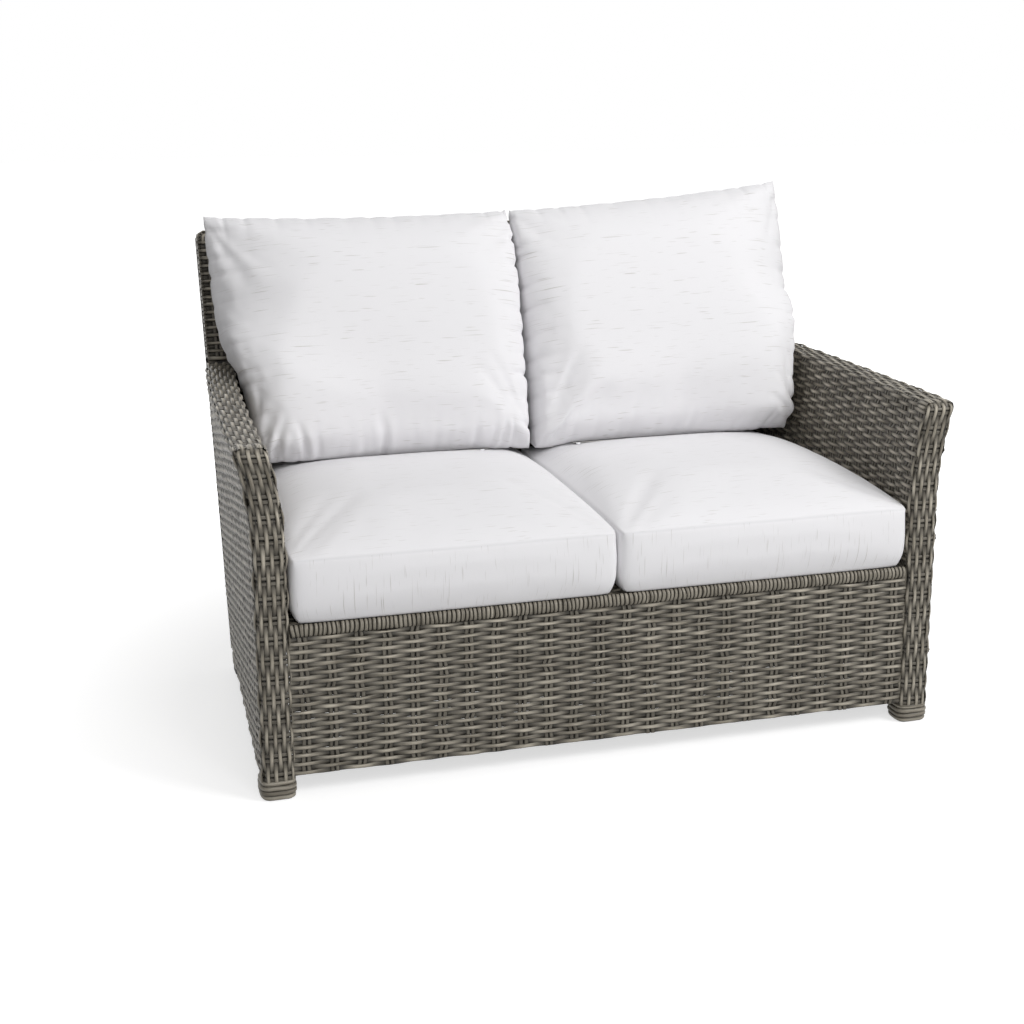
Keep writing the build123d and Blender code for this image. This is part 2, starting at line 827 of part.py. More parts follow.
# Back cushions: knife-edge pillows that lean more than the back does. Up the pillow's own middle
# plane, as shares: place, fill, and draw-in of the outer side from what limits it there.
pillow_station_shares = (0.0, 0.1, 0.25, 0.4, 0.52, 0.66, 0.8, 0.91, 1.0)
pillow_fill_shares = (0.0, 0.5, 0.86, 0.98, 1.0, 0.9, 0.68, 0.38, 0.0)
pillow_outer_draw_shares = (1.0, 0.3, 0.06, 0.0, 0.28, 0.06, 0.0, 0.0, 0.0)
pillow_inner_draw_shares = (1.0, 0.6, 0.3, 0.1, 0.0, 0.1, 0.3, 0.4, 0.4)
pillow_corner_rise_shares = (0.0, 0.0, 0.0, 0.05, 0.15, 0.3, 0.5, 0.75, 1.0)
pillow_arm_index = 3
pillow_tip_share = 4.0
tilt_sin = sin(radians(pillow_tilt))
tilt_cos = cos(radians(pillow_tilt))
pillow_z = seat_top(seat_pillow_index) + pillow_rest_gap + pillow_edge * tilt_sin


def pillow_back_limit(share, fill_share):
    """Where the pillow's foot must stand for its back to meet the back panel at one station."""
    v = pillow_height * share
    back = pillow_edge + (pillow_back_fill - pillow_edge) * fill_share
    z = pillow_z + v * tilt_cos - back * tilt_sin
    return back_y(z, panel_thickness) - v * tilt_sin - back * tilt_cos


pillow_y = min(map(pillow_back_limit, pillow_station_shares, pillow_fill_shares))
pillow_y -= pillow_lean_clearance


def pillow_far_x(index):
    """The outer side of a back cushion: held in by the arm at first, by the back's width above."""
    v = pillow_height * pillow_station_shares[index]
    y, z = pillow_y + v * tilt_sin, pillow_z + v * tilt_cos
    if index <= pillow_arm_index:
        limit = arm_x(y, min(z, arm_top)) - post_wrap_size - seat_side_clearance
    else:
        limit = back_half(z) - pillow_side_inset
    return limit - pillow_outer_draw * pillow_outer_draw_shares[index]


def pillow_body(inner_x, corner_rise, inset, end_inset):
    """The right back cushion's outer form, or one that lies inset inside it, cut off at both ends."""
    with BuildPart() as body:
        stations = []
        for index, share in enumerate(pillow_station_shares):
            v = pillow_height * share
            tip_inset = pillow_tip_share * inset
            near = inner_x + pillow_inner_draw * pillow_inner_draw_shares[index] + tip_inset
            far = pillow_far_x(index) - tip_inset
            fill = pillow_fill_shares[index]
            front = pillow_edge + (pillow_front_fill - pillow_edge) * fill - inset
            back = pillow_edge + (pillow_back_fill - pillow_edge) * fill - inset
            turn = corner_rise * pillow_corner_rise_shares[index] / (far - near)
            station = Plane(
                origin=(near, pillow_y + v * tilt_sin, pillow_z + v * tilt_cos),
                x_dir=(cos(turn), tilt_sin * sin(turn), tilt_cos * sin(turn)),
                z_dir=(-sin(turn), tilt_sin * cos(turn), tilt_cos * cos(turn)),
            )
            stations.append(station)
            with BuildSketch(station):
                with BuildLine():
                    width = far - near
                    ThreePointArc((0, 0), (width / 2, -front), (width, 0))
                    ThreePointArc((width, 0), (width / 2, back), (0, 0))
                make_face()
        loft()
        if end_inset:
            split(bisect_by=stations[0].offset(end_inset), keep=Keep.TOP)
            split(bisect_by=stations[-1].offset(-end_inset), keep=Keep.BOTTOM)
    return body.part


# Zips: a chain on a flat face, a slider on the chain, and a pull that turns on the slider's bridge.
# In a back cushion all three lie inside a pocket in the bottom seam.
zip_pocket_depth = (
    zip_thickness + slider_height + bridge_rise + pull_barrel_diameter / 2 + 2 * zip_clearance
)


def zip_chain(face, length):
    """The closed chain of a zip along the face's own x."""
    with BuildPart() as chain:
        with BuildSketch(face):
            Rectangle(length, zip_width)
        extrude(amount=zip_thickness)
    return chain.part


def bridge_plane(face, place):
    """The plane across the slider's bridge, at its middle."""
    above = zip_thickness + zip_clearance + slider_height + bridge_rise
    return Plane(
        origin=face.from_local_coords(Vector(place, 0, above)),
        x_dir=face.x_dir,
        z_dir=face.y_dir,
    )


def zip_slider(face, place):
    """A slider with a bridge pin held between two lugs."""
    lug_gap = pull_width + 2 * zip_clearance
    with BuildPart() as slider:
        with BuildSketch(face.offset(zip_thickness + zip_clearance)):
            with Locations((place, 0)):
                RectangleRounded(slider_length, slider_width, radius=slider_width / 4)
        extrude(amount=slider_height)
        with BuildSketch(face.offset(zip_thickness + zip_clearance + slider_height)):
            with Locations((place, 0)):
                with GridLocations(bridge_diameter, lug_gap + lug_width, 1, 2):
                    Rectangle(bridge_diameter, lug_width)
        extrude(amount=bridge_rise)
        with BuildSketch(bridge_plane(face, place)):
            Circle(bridge_diameter / 2)
        extrude(amount=lug_gap / 2 + lug_width, both=True)
    return slider.part


def zip_pull(face, place):
    """A pull: an eye round the bridge pin and a flat tab that lies back over the closed zip."""
    tab_middle = -pull_length / 2 if place > 0 else pull_length / 2
    with BuildPart() as pull:
        with BuildSketch(bridge_plane(face, place)):
            Circle(pull_barrel_diameter / 2)
            with Locations((tab_middle, 0)):
                Rectangle(pull_length, pull_thickness)
            Circle(bridge_diameter / 2 + pull_eye_clearance, mode=Mode.SUBTRACT)
        extrude(amount=pull_width / 2, both=True)
    return pull.part


for side, sign in (("right", 1), ("left", -1)):
    pieces = {}
    near_x = sign * seat_split_x + cushion_gap / 2
    with BuildPart() as seat_cover:
        add(seat_body(near_x, 0))
        add(seat_body(near_x, cover_thickness), mode=Mode.SUBTRACT)
    pieces[f"seat_cushion_cover_{side}"] = seat_cover.part
    pieces[f"seat_cushion_foam_{side}"] = seat_body(near_x, cover_thickness + cover_clearance)
    rear_wall_x = side_x(seat_rear_y, deck_height) - panel_thickness
    seat_zip_face = Plane(
        origin=((near_x + rear_wall_x) / 2, seat_rear_y, seat_bottom + seat_seam_height / 2),
        x_dir=(1, 0, 0),
        z_dir=(0, 1, 0),
    )
    slider_place = seat_zip_length / 2 - slider_length
    pieces[f"seat_zip_chain_{side}"] = zip_chain(seat_zip_face, seat_zip_length)
    pieces[f"seat_zip_slider_{side}"] = zip_slider(seat_zip_face, slider_place)
    pieces[f"seat_zip_pull_{side}"] = zip_pull(seat_zip_face, slider_place)

    near_x = sign * pillow_split_x + cushion_gap / 2
    corner_rise = pillow_corner_rises[side]
    pillow_bottom = Plane(
        origin=((near_x + pillow_far_x(0)) / 2, pillow_y, pillow_z),
        x_dir=(1, 0, 0),
        z_dir=(0, -tilt_sin, -tilt_cos),
    )
    with BuildPart() as pillow_cover:
        add(pillow_body(near_x, corner_rise, 0, 0))
        add(
            pillow_body(near_x, corner_rise, cover_thickness, seam_allowance),
            mode=Mode.SUBTRACT,
        )
        with BuildSketch(pillow_bottom):
            pocket_length = pillow_zip_length + 2 * pull_length
            Rectangle(pocket_length, slider_width + 2 * zip_clearance)
        extrude(amount=-zip_pocket_depth, mode=Mode.SUBTRACT)
    pieces[f"back_cushion_cover_{side}"] = pillow_cover.part
    pieces[f"back_cushion_fill_{side}"] = pillow_body(
        near_x,
        corner_rise,
        cover_thickness + cover_clearance,
        seam_allowance + cover_clearance,
    )
    pillow_zip_face = pillow_bottom.offset(-zip_pocket_depth)
    slider_place = slider_length - pillow_zip_length / 2
    pieces[f"back_zip_chain_{side}"] = zip_chain(pillow_zip_face, pillow_zip_length)
    pieces[f"back_zip_slider_{side}"] = zip_slider(pillow_zip_face, slider_place)
    pieces[f"back_zip_pull_{side}"] = zip_pull(pillow_zip_face, slider_place)
    for name, piece in pieces.items():
        save(piece if side == "right" else mirrored(piece), name)
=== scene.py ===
# %% [markdown]
# # A woven patio loveseat
# The real object is a welded tube frame that is skinned by hand with resin strand, and dressed with two
# box seat cushions and two loose knife-edge back cushions. The measured solids come in first, as a fixed
# frame. Everything that is modelled here is laid on them, in metres, at the place where they say.

# %% Load the measured frame
import json
from math import cos, exp, floor, pi, radians, sin, sqrt, tan, tau

import bpy
from mathutils import Matrix, Vector, noise
from mathutils.bvhtree import BVHTree


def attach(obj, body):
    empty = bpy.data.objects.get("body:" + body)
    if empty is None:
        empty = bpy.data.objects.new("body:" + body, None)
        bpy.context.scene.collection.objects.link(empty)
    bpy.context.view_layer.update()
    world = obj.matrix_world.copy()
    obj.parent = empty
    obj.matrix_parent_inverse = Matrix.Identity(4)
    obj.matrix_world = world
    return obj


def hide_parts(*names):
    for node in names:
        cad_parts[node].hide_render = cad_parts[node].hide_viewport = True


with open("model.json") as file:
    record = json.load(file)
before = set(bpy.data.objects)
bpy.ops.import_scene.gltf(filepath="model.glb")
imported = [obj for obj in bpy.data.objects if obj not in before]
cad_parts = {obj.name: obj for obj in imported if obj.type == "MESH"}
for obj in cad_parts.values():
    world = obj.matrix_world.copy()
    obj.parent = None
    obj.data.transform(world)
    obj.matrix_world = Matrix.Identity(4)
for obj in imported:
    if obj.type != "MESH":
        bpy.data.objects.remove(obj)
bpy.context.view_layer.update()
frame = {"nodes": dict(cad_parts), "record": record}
print("solids loaded:", len(frame["nodes"]))

# %% [markdown]
# ## Sizes that the woven skins follow
# The strands are laid on the same surfaces as the solids: upright sides that draw in towards the back, a
# flare at the top of each arm, and a flat back that leans. These are the few sizes that they need, in
# millimetres.

# %% Sizes in millimetres
MM = 0.001
front_y, frame_height, arm_height, arm_top = -419.0, 864.0, 612.0, 602.0
front_half, back_low, back_high = 623.5, 588.0, 601.0
skin_low, flare_start, flare = 38.0, 430.0, 24.0
post_size, panel, deck_top = 58.6, 54.0, 306.0
post_back = front_y + post_size
lean = radians(11.5)
back_foot, top_up, cap_up = 246.98, 872.73, 858.73
apron_face, apron_half, roll_low = -412.0, 564.9, 284.0
print("frame height, mm:", frame_height)

# %% [markdown]
# A few functions turn those sizes into places on the back and on the outer face of an arm.


# %% Surfaces of the frame
def back_y(height, depth):
    """The back panel's place in Y at a height, depth in front of its rear face."""
    return back_foot + height * tan(lean) - depth / cos(lean)


def back_half(height):
    """Half the width of the back at a height."""
    return back_low + (back_high - back_low) * (height - skin_low) / (frame_height - skin_low)


def flare_shift(height):
    """How far the arm leans outwards at a height, along its arc."""
    rise = arm_top - flare_start
    radius = (flare**2 + rise**2) / (2 * flare)
    return radius - sqrt(radius**2 - max(0.0, min(height, arm_top) - flare_start) ** 2)


def arm_x(y, height):
    """The outer face of the right arm."""
    y = max(y, post_back)
    share = (y - post_back) / (back_y(height, 0) - post_back)
    top_share = min(1.0, (y - post_back) / (back_y(arm_top, 0) - post_back))
    side = front_half - (front_half - back_half(height)) * share
    return side + (1.0 - top_share**3) * flare_shift(height)


print("arm width at the front, mm:", round(2 * arm_x(front_y, arm_top), 1))

# %% [markdown]
# ## Camera
# The photograph looks from the left and a little above. A camera fitted to the outline of the frame gave
# its place, turn and lens; the small sideways shift puts the loveseat where the picture has it.

# %% Camera
image_side, focal_px, middle_px = 1024, 1839.2, 592.6
camera_data = bpy.data.cameras.new("loveseat_camera")
camera_data.sensor_width = 36.0
camera_data.lens = focal_px / image_side * camera_data.sensor_width
camera_data.shift_x = (image_side / 2 - middle_px) / image_side
camera = bpy.data.objects.new("loveseat_camera", camera_data)
bpy.context.scene.collection.objects.link(camera)
heading, pitch, roll = radians(-18.204), radians(90 - 15.751), radians(0.405)
turn = Matrix.Rotation(heading, 4, "Z") @ Matrix.Rotation(pitch, 4, "X") @ Matrix.Rotation(roll, 4, "Z")
camera.matrix_world = Matrix.Translation((-0.9883, -3.2925, 1.3146)) @ turn
bpy.context.scene.camera = camera
print("lens, mm:", round(camera_data.lens, 1))

# %% [markdown]
# ## Small helpers
# An operator acts on whatever is selected, so each modelling step starts from a clean selection.


# %% Selection
def start_clean():
    """Leaves edit mode and deselects everything."""
    if bpy.context.object and bpy.context.object.mode != "OBJECT":
        bpy.ops.object.mode_set(mode="OBJECT")
    bpy.ops.object.select_all(action="DESELECT")


def pick(piece):
    """Makes one piece the only selected and active one."""
    start_clean()
    piece.select_set(True)
    bpy.context.view_layer.objects.active = piece


# %% [markdown]
# Colours are written as the sRGB hex values that a colour picker shows, and one function turns them to
# linear. The nodes of a material are added by one function, and four more name the nodes that repeat.


# %% Colours and nodes
def linear(hex_colour):
    """An sRGB hex colour as linear red, green, blue and alpha."""
    values = [int(hex_colour[place:place + 2], 16) / 255 for place in (1, 3, 5)]
    return [v / 12.92 if v <= 0.04045 else ((v + 0.055) / 1.055) ** 2.4 for v in values] + [1.0]


def add_node(owner, kind, inputs=None, **settings):
    """Adds a node: settings are its properties, and an input is a value or another node's output."""
    node = owner.node_tree.nodes.new(kind)
    for name, value in settings.items():
        setattr(node, name, value)
    for name, value in (inputs or {}).items():
        if isinstance(value, bpy.types.NodeSocket):
            owner.node_tree.links.new(value, node.inputs[name])
        else:
            node.inputs[name].default_value = value
    return node


def math_node(owner, operation, *values):
    return add_node(owner, "ShaderNodeMath", dict(enumerate(values)), operation=operation).outputs[0]


def noise_node(owner, vector, scale, detail, roughness=0.5):
    inputs = {"Vector": vector, "Scale": scale, "Detail": detail, "Roughness": roughness}
    return add_node(owner, "ShaderNodeTexNoise", inputs).outputs[0]


def scaled(owner, vector, scale, start=(0, 0, 0)):
    inputs = {"Vector": vector, "Scale": scale, "Location": start}
    return add_node(owner, "ShaderNodeMapping", inputs).outputs[0]


def ramp_node(owner, value, *stops):
    """The colour that a value has on a ramp; each stop is a place and an sRGB hex colour."""
    ramp = add_node(owner, "ShaderNodeValToRGB", {0: value})
    elements = ramp.color_ramp.elements
    for element, (place, colour) in zip(elements, (stops[0], stops[-1])):
        element.position, element.color = place, linear(colour)
    for place, colour in stops[1:-1]:
        elements.new(place).color = linear(colour)
    return ramp.outputs[0]


def blend_node(owner, blend, factor, first, second):
    inputs = {"Factor": factor, 6: first, 7: second}
    return add_node(owner, "ShaderNodeMix", inputs, data_type="RGBA", blend_type=blend).outputs[2]


# %% [markdown]
# Every material starts empty and ends in one surface: a shader with a fine relief.


# %% Start and end of a material
def new_material(name):
    """An empty node material."""
    material = bpy.data.materials.new(name)
    material.use_nodes = True
    material.node_tree.nodes.clear()
    return material


def add_surface(material, colour, height, strength, distance, **settings):
    """The shader and its bump; the settings name the shader's inputs, with _ for a space."""
    relief = {"Height": height, "Strength": strength, "Distance": distance}
    bump = add_node(material, "ShaderNodeBump", relief)
    inputs = {name.replace("_", " "): value for name, value in settings.items()}
    inputs.update({"Base Color": colour, "Normal": bump.outputs[0]})
    shader = add_node(material, "ShaderNodeBsdfPrincipled", inputs)
    add_node(material, "ShaderNodeOutputMaterial", {"Surface": shader.outputs[0]})
    return material


# %% [markdown]
# ## Backdrop
# The loveseat was photographed on white. The white is there only for the rays that see it, so it never
# adds light to the object.


# %% Rays that see the backdrop
def seen_rays(owner):
    """1 for a ray from the camera, off gloss or through glass."""
    ray = add_node(owner, "ShaderNodeLightPath").outputs
    direct = math_node(owner, "MAXIMUM", ray["Is Camera Ray"], ray["Is Glossy Ray"])
    return math_node(owner, "MAXIMUM", direct, ray["Is Transmission Ray"])


# %% [markdown]
# The floor is a pale matt plane that keeps the contact shadow. To the rays that see it, it also glows, a
# little near the loveseat and fully from 1.5 m out, where it turns into plain white.

# %% Floor
start_clean()
bpy.ops.mesh.primitive_plane_add(size=24)
floor_plane = bpy.context.object
floor_plane.name = "studio_floor"
paint = new_material("studio floor, matt paint")
diffuse = add_node(paint, "ShaderNodeBsdfDiffuse", {"Color": linear("#c9c9c9")}).outputs[0]
place = add_node(paint, "ShaderNodeTexCoord").outputs["Object"]
reach = add_node(paint, "ShaderNodeVectorMath", {0: place}, operation="LENGTH").outputs["Value"]
bright = add_node(paint, "ShaderNodeMapRange", {0: reach, 1: 0.7, 2: 1.5, 3: 0.64, 4: 1.0}).outputs[0]
glow = add_node(paint, "ShaderNodeEmission", {"Color": linear("#ffffff"), "Strength": bright}).outputs[0]
lit = add_node(paint, "ShaderNodeAddShader", {0: diffuse, 1: glow}).outputs[0]
mixed = add_node(paint, "ShaderNodeMixShader", {0: seen_rays(paint), 1: diffuse, 2: lit}).outputs[0]
add_node(paint, "ShaderNodeOutputMaterial", {"Surface": mixed})
floor_plane.data.materials.append(paint)
print("floor:", floor_plane.name)

# %% [markdown]
# ## Light
# A large soft lamp from the front right gives the main light. A fill lamp from the front left, a weak one
# from above, one from behind and a faint world keep the shadows open.

# %% World and lamps
world = bpy.data.worlds.new("studio_world")
bpy.context.scene.world = world
world.use_nodes = True
world.node_tree.nodes.clear()
# Full white to the rays that see it, and 0.22 as light on the object
strength = math_node(world, "MULTIPLY_ADD", seen_rays(world), 0.78, 0.22)
sky = add_node(world, "ShaderNodeBackground", {"Color": linear("#ffffff"), "Strength": strength})
add_node(world, "ShaderNodeOutputWorld", {"Surface": sky.outputs[0]})


def add_lamp(name, place, target, size, power):
    """A square soft lamp that faces a point."""
    data = bpy.data.lights.new(name, "AREA")
    data.size = size
    data.energy = power
    lamp = bpy.data.objects.new(name, data)
    bpy.context.scene.collection.objects.link(lamp)
    lamp.location = place
    lamp.rotation_euler = (Vector(target) - Vector(place)).to_track_quat("-Z", "Y").to_euler()


add_lamp("key_lamp", (2.6, -2.6, 3.2), (0, 0, 0.4), 1.8, 104)
add_lamp("fill_lamp", (-0.4, -3.7, 2.4), (0, 0, 0.5), 2.4, 50)
add_lamp("top_lamp", (0.2, 0.4, 3.6), (0, 0, 0.4), 2.6, 22)
add_lamp("rear_lamp", (-0.6, 4.0, 2.4), (0, 0, 0.5), 2.4, 24)
bpy.context.scene.view_settings.view_transform = "Standard"
print("lamps:", len(bpy.data.lights))

# %% [markdown]
# ## Resin strand
# The strand is extruded polyethylene, about 7.5 mm wide, half round, coloured through in a weathered
# taupe. Extrusion leaves fine lines along it, each length takes the dye a little differently, and the
# surface has a soft satin gloss. The pattern follows the strand, so it reads a UV map: U runs along the
# strand and V across it, both in metres.

# %% Strand material
STRAND_PITCH = 7.6


def strand_material(name, light, dark, roughness):
    """Satin extruded resin: a tone for each float, grain lines along it, painted shade in its depths and a
    painted highlight on its crests.
    """
    material = new_material(name)
    uv = add_node(material, "ShaderNodeUVMap", uv_map="strand").outputs[0]
    parts = add_node(material, "ShaderNodeSeparateXYZ", {0: uv}).outputs
    # One tone per row and per float or two, because each one catches the dirt and the light its own way
    row = math_node(material, "FLOOR", math_node(material, "DIVIDE", parts[1], STRAND_PITCH * MM))
    length = math_node(material, "MULTIPLY", parts[0], 8.0)
    float_place = add_node(material, "ShaderNodeCombineXYZ", {0: length, 1: row}).outputs[0]
    tone = noise_node(material, float_place, 1.7, 2.0, 0.6)
    # Extrusion lines 0.5 mm apart are finer than a pixel, so they are drawn about 1 mm apart
    grain = noise_node(material, scaled(material, uv, (18.0, 950.0, 1.0)), 1.0, 3.0, 0.65)
    share = math_node(material, "MULTIPLY_ADD", grain, 0.45, math_node(material, "MULTIPLY", tone, 0.55))
    dye = ramp_node(material, share, (0.38, dark), (0.62, light))
    # Painted shade between the strands and where a float dives, and a painted highlight on the crests
    crest = add_node(material, "ShaderNodeAttribute", attribute_name="crest").outputs["Fac"]
    painted_shade_greys = (0.12, "#303030"), (0.42, "#7a7a7a"), (0.7, "#b4b4b4"), (0.97, "#ffffff")
    colour = blend_node(material, "MULTIPLY", 1.0, dye, ramp_node(material, crest, *painted_shade_greys))
    # The ridges of the grain are 0.4 mm high at most
    return add_surface(
        material, colour, grain, 0.35, 0.4 * MM, Roughness=roughness, IOR=1.5, Specular_IOR_Level=0.28
    )


resin = strand_material("resin strand, extruded polyethylene", "#cdc5b5", "#726b5e", 0.42)
print("strand material:", resin.name)

# %% [markdown]
# ## Helpers for meshes
# A few steps come up with every piece: merging points, filling its UV map, mirroring it to the left side,
# and giving it smooth shading and a material.


# %% Mesh helpers
def merge_points(piece, gap, outwards=False):
    """Merges the points within a gap, and turns all faces outwards if asked."""
    pick(piece)
    bpy.ops.object.mode_set(mode="EDIT")
    bpy.ops.mesh.select_all(action="SELECT")
    bpy.ops.mesh.remove_doubles(threshold=gap)
    if outwards:
        bpy.ops.mesh.normals_make_consistent(inside=False)
    bpy.ops.object.mode_set(mode="OBJECT")


def join_pieces(pieces, name):
    """Joins pieces into the first one, under a new name."""
    start_clean()
    for piece in pieces:
        piece.select_set(True)
    bpy.context.view_layer.objects.active = pieces[0]
    bpy.ops.object.join()
    pieces[0].name = pieces[0].data.name = name
    return pieces[0]


def fill_uv(piece, place):
    """Fills the strand's UV map: place(point) gives a point's run along and across the strand."""
    mesh = piece.data
    layer = mesh.uv_layers[0]
    layer.name = "strand"
    for loop, corner in zip(mesh.loops, layer.data):
        corner.uv = place(mesh.vertices[loop.vertex_index].co)


def mirror(mesh):
    """Mirrors a mesh in X, with its faces turned the right way again."""
    for vertex in mesh.vertices:
        vertex.co.x = -vertex.co.x
    mesh.flip_normals()


def coat(piece, material):
    """Smooth shading and one material."""
    pick(piece)
    bpy.ops.object.shade_smooth()
    piece.data.materials.clear()
    piece.data.materials.append(material)
    print(piece.name, "faces:", len(piece.data.polygons))


# %% [markdown]
# ## The weave
# Every panel is the same plain weave: strands that go over one pair of stakes and under the next. A grid
# is rolled up into a strand and waved in depth. Its `crest` attribute is 1 on the middle of a float that is
# on top, and falls to its edges and to where it dives; the material paints shade and highlight with it.


# %% Roll a grid up into a strand
def roll_strand(steps, sides, length, width, thickness, wave=0.0, phase=0.0, across=0.0, shade=0.85):
    """One length of strand along X; it waves in depth and lies at a place across. Outwards is -Y."""
    start_clean()
    bpy.ops.mesh.primitive_grid_add(x_subdivisions=steps, y_subdivisions=sides, size=1)
    strand = bpy.context.object
    crest = strand.data.attributes.new("crest", "FLOAT", "POINT")
    for vertex in strand.data.vertices:
        along, angle = vertex.co.x + 0.5, -tau * (vertex.co.y + 0.5)
        over = cos(tau * along + phase) if wave else 0.0
        # Painted shade: the crest is low where a float dives and on the strand's inner face; a strand
        # without a wave takes the fixed level shade
        above = sqrt(0.5 + over / 2) if wave else shade
        crest.data[vertex.index].value = above * (0.4 + 0.6 * max(0.0, -sin(angle)))
        round_top = thickness / 2 * sin(angle) * (1.0 if sin(angle) < 0 else 0.7)
        half_width = width / 2 * (1.0 - 0.22 * over)
        vertex.co = (along * length, round_top - wave * over, across + half_width * cos(angle))
    merge_points(strand, 1e-6)
    return strand


# %% [markdown]
# One tile holds two strands and two pairs of stakes. Array modifiers repeat it over the panel while it is
# still flat.


# %% Weave a flat sheet
def repeat(piece, count, step):
    """Repeats a piece in a straight line with an applied Array modifier."""
    pick(piece)
    array = piece.modifiers.new("repeat", "ARRAY")
    array.use_relative_offset = False
    array.use_constant_offset = True
    array.constant_offset_displace = step
    array.count = count
    array.use_merge_vertices = True
    array.merge_threshold = 1e-6
    bpy.ops.object.modifier_apply(modifier=array.name)


def weave_sheet(name, length, height, pair_pitch, sides=8, pitch=STRAND_PITCH):
    """A flat woven sheet of about length x height, all in millimetres."""
    columns = max(1, round(length / (2 * pair_pitch)))
    rows = max(1, round(height / (2 * pitch)))
    period, double_row = length / columns * MM, height / rows * MM
    gauge = pitch * MM
    strands = [
        roll_strand(8, sides, period, 1.18 * double_row / 2, 4.4 * MM, 2.1 * MM, phase, across)
        for phase, across in ((-pi / 2, double_row / 4), (pi / 2, 3 * double_row / 4))
    ]
    woven = join_pieces(strands, "strands")
    repeat(woven, columns, (period, 0, 0))
    repeat(woven, rows, (0, 0, double_row))
    # The stakes run up the sheet in pairs; they turn a strand on its side
    stakes = []
    for place in (period / 4, 3 * period / 4):
        for shift in (-0.6, 0.6):
            # The stakes take the crest level 0.62: painted shade, as they lie under the strands
            stake = roll_strand(1, 6, double_row, 1.05 * gauge, 2.2 * MM, shade=0.62)
            for vertex in stake.data.vertices:
                vertex.co = (place + shift * gauge - vertex.co.z, vertex.co.y - 0.7 * MM, vertex.co.x)
            stakes.append(stake)
    stake_set = join_pieces(stakes, "stakes")
    repeat(stake_set, rows, (0, 0, double_row))
    repeat(stake_set, columns, (period, 0, 0))
    fill_uv(woven, lambda point: (point.x, point.z))
    fill_uv(stake_set, lambda point: (point.z, point.x + 3.0))
    sheet = join_pieces([woven, stake_set], name)
    for vertex in sheet.data.vertices:
        vertex.co.y += 4.0 * MM
    return sheet


# %% [markdown]
# A sheet may be cut along a plane, or lose the points that a neighbour covers.


# %% Cut a flat sheet
def trim(sheet, point, normal):
    """Cuts off what lies beyond a plane, on the side that the normal points to."""
    pick(sheet)
    bpy.ops.object.mode_set(mode="EDIT")
    bpy.ops.mesh.select_all(action="SELECT")
    bpy.ops.mesh.bisect(plane_co=point, plane_no=normal, clear_outer=True)
    bpy.ops.object.mode_set(mode="OBJECT")


def drop_points(sheet, unwanted):
    """Deletes the points where unwanted(u, v) is true, in millimetres."""
    pick(sheet)
    bpy.ops.object.mode_set(mode="EDIT")
    bpy.ops.mesh.select_mode(type="VERT")
    bpy.ops.mesh.select_all(action="DESELECT")
    bpy.ops.object.mode_set(mode="OBJECT")
    for vertex in sheet.data.vertices:
        vertex.select = unwanted(vertex.co.x / MM, vertex.co.z / MM)
    bpy.ops.object.mode_set(mode="EDIT")
    bpy.ops.mesh.delete(type="VERT")
    bpy.ops.object.mode_set(mode="OBJECT")


# %% [markdown]
# The flat sheet is then laid on its surface of the frame, point by point, with a little unevenness, because
# it is woven by hand. It rides on the frame in place of the plain solids.


# %% Lay a sheet on a surface
def lay(sheet, place, seed, wander=0.0, end=None):
    """Lays a sheet: place(u, v, out), in millimetres, gives a point. A cut end, at end(v), stays put."""
    for vertex in sheet.data.vertices:
        u, depth, v = (value / MM for value in vertex.co)
        row = floor(v / STRAND_PITCH)
        sway = 1.7 * noise.noise(Vector((u * 0.021, row * 3.7, seed)))
        lift = 1.3 * noise.noise(Vector((u * 0.029, row * 5.3, seed + 40.0)))
        drift = wander * noise.noise(Vector((u * 0.013, v * 0.055, seed + 80.0)))
        if end:
            drift *= min(1.0, max(0.0, (end(v) - u) / 40.0))
        vertex.co = Vector(place(u + drift, v + sway, lift - depth)) * MM
    coat(sheet, resin)


def dress(sheet, *nodes):
    """Ties a woven piece to the frame's body, in place of its plain solids."""
    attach(sheet, "loveseat_frame")
    if nodes:
        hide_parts(*nodes)


def left_twin(sheet, name):
    """The mirror image of a right-hand piece."""
    pick(sheet)
    bpy.ops.object.duplicate()
    twin = bpy.context.object
    twin.name = twin.data.name = name
    mirror(twin.data)
    return twin


# %% [markdown]
# ## Apron
# The apron is one flat panel between the front posts, with horizontal strands over pairs of upright
# stakes 46 mm apart.

# %% Apron
apron_reach = apron_half + 4.0
apron = weave_sheet("front_apron_strands", 2 * apron_reach, roll_low - skin_low, 46.0)
lay(apron, lambda u, v, out: (u - apron_reach, apron_face - out, skin_low + v), 1.0, wander=5.0)
dress(apron, "front_apron_weave")

# %% [markdown]
# Under the cushions the apron ends in a rolled edge: one strand wound round a rod. A short strand is bent
# over the roll once and repeated along it.

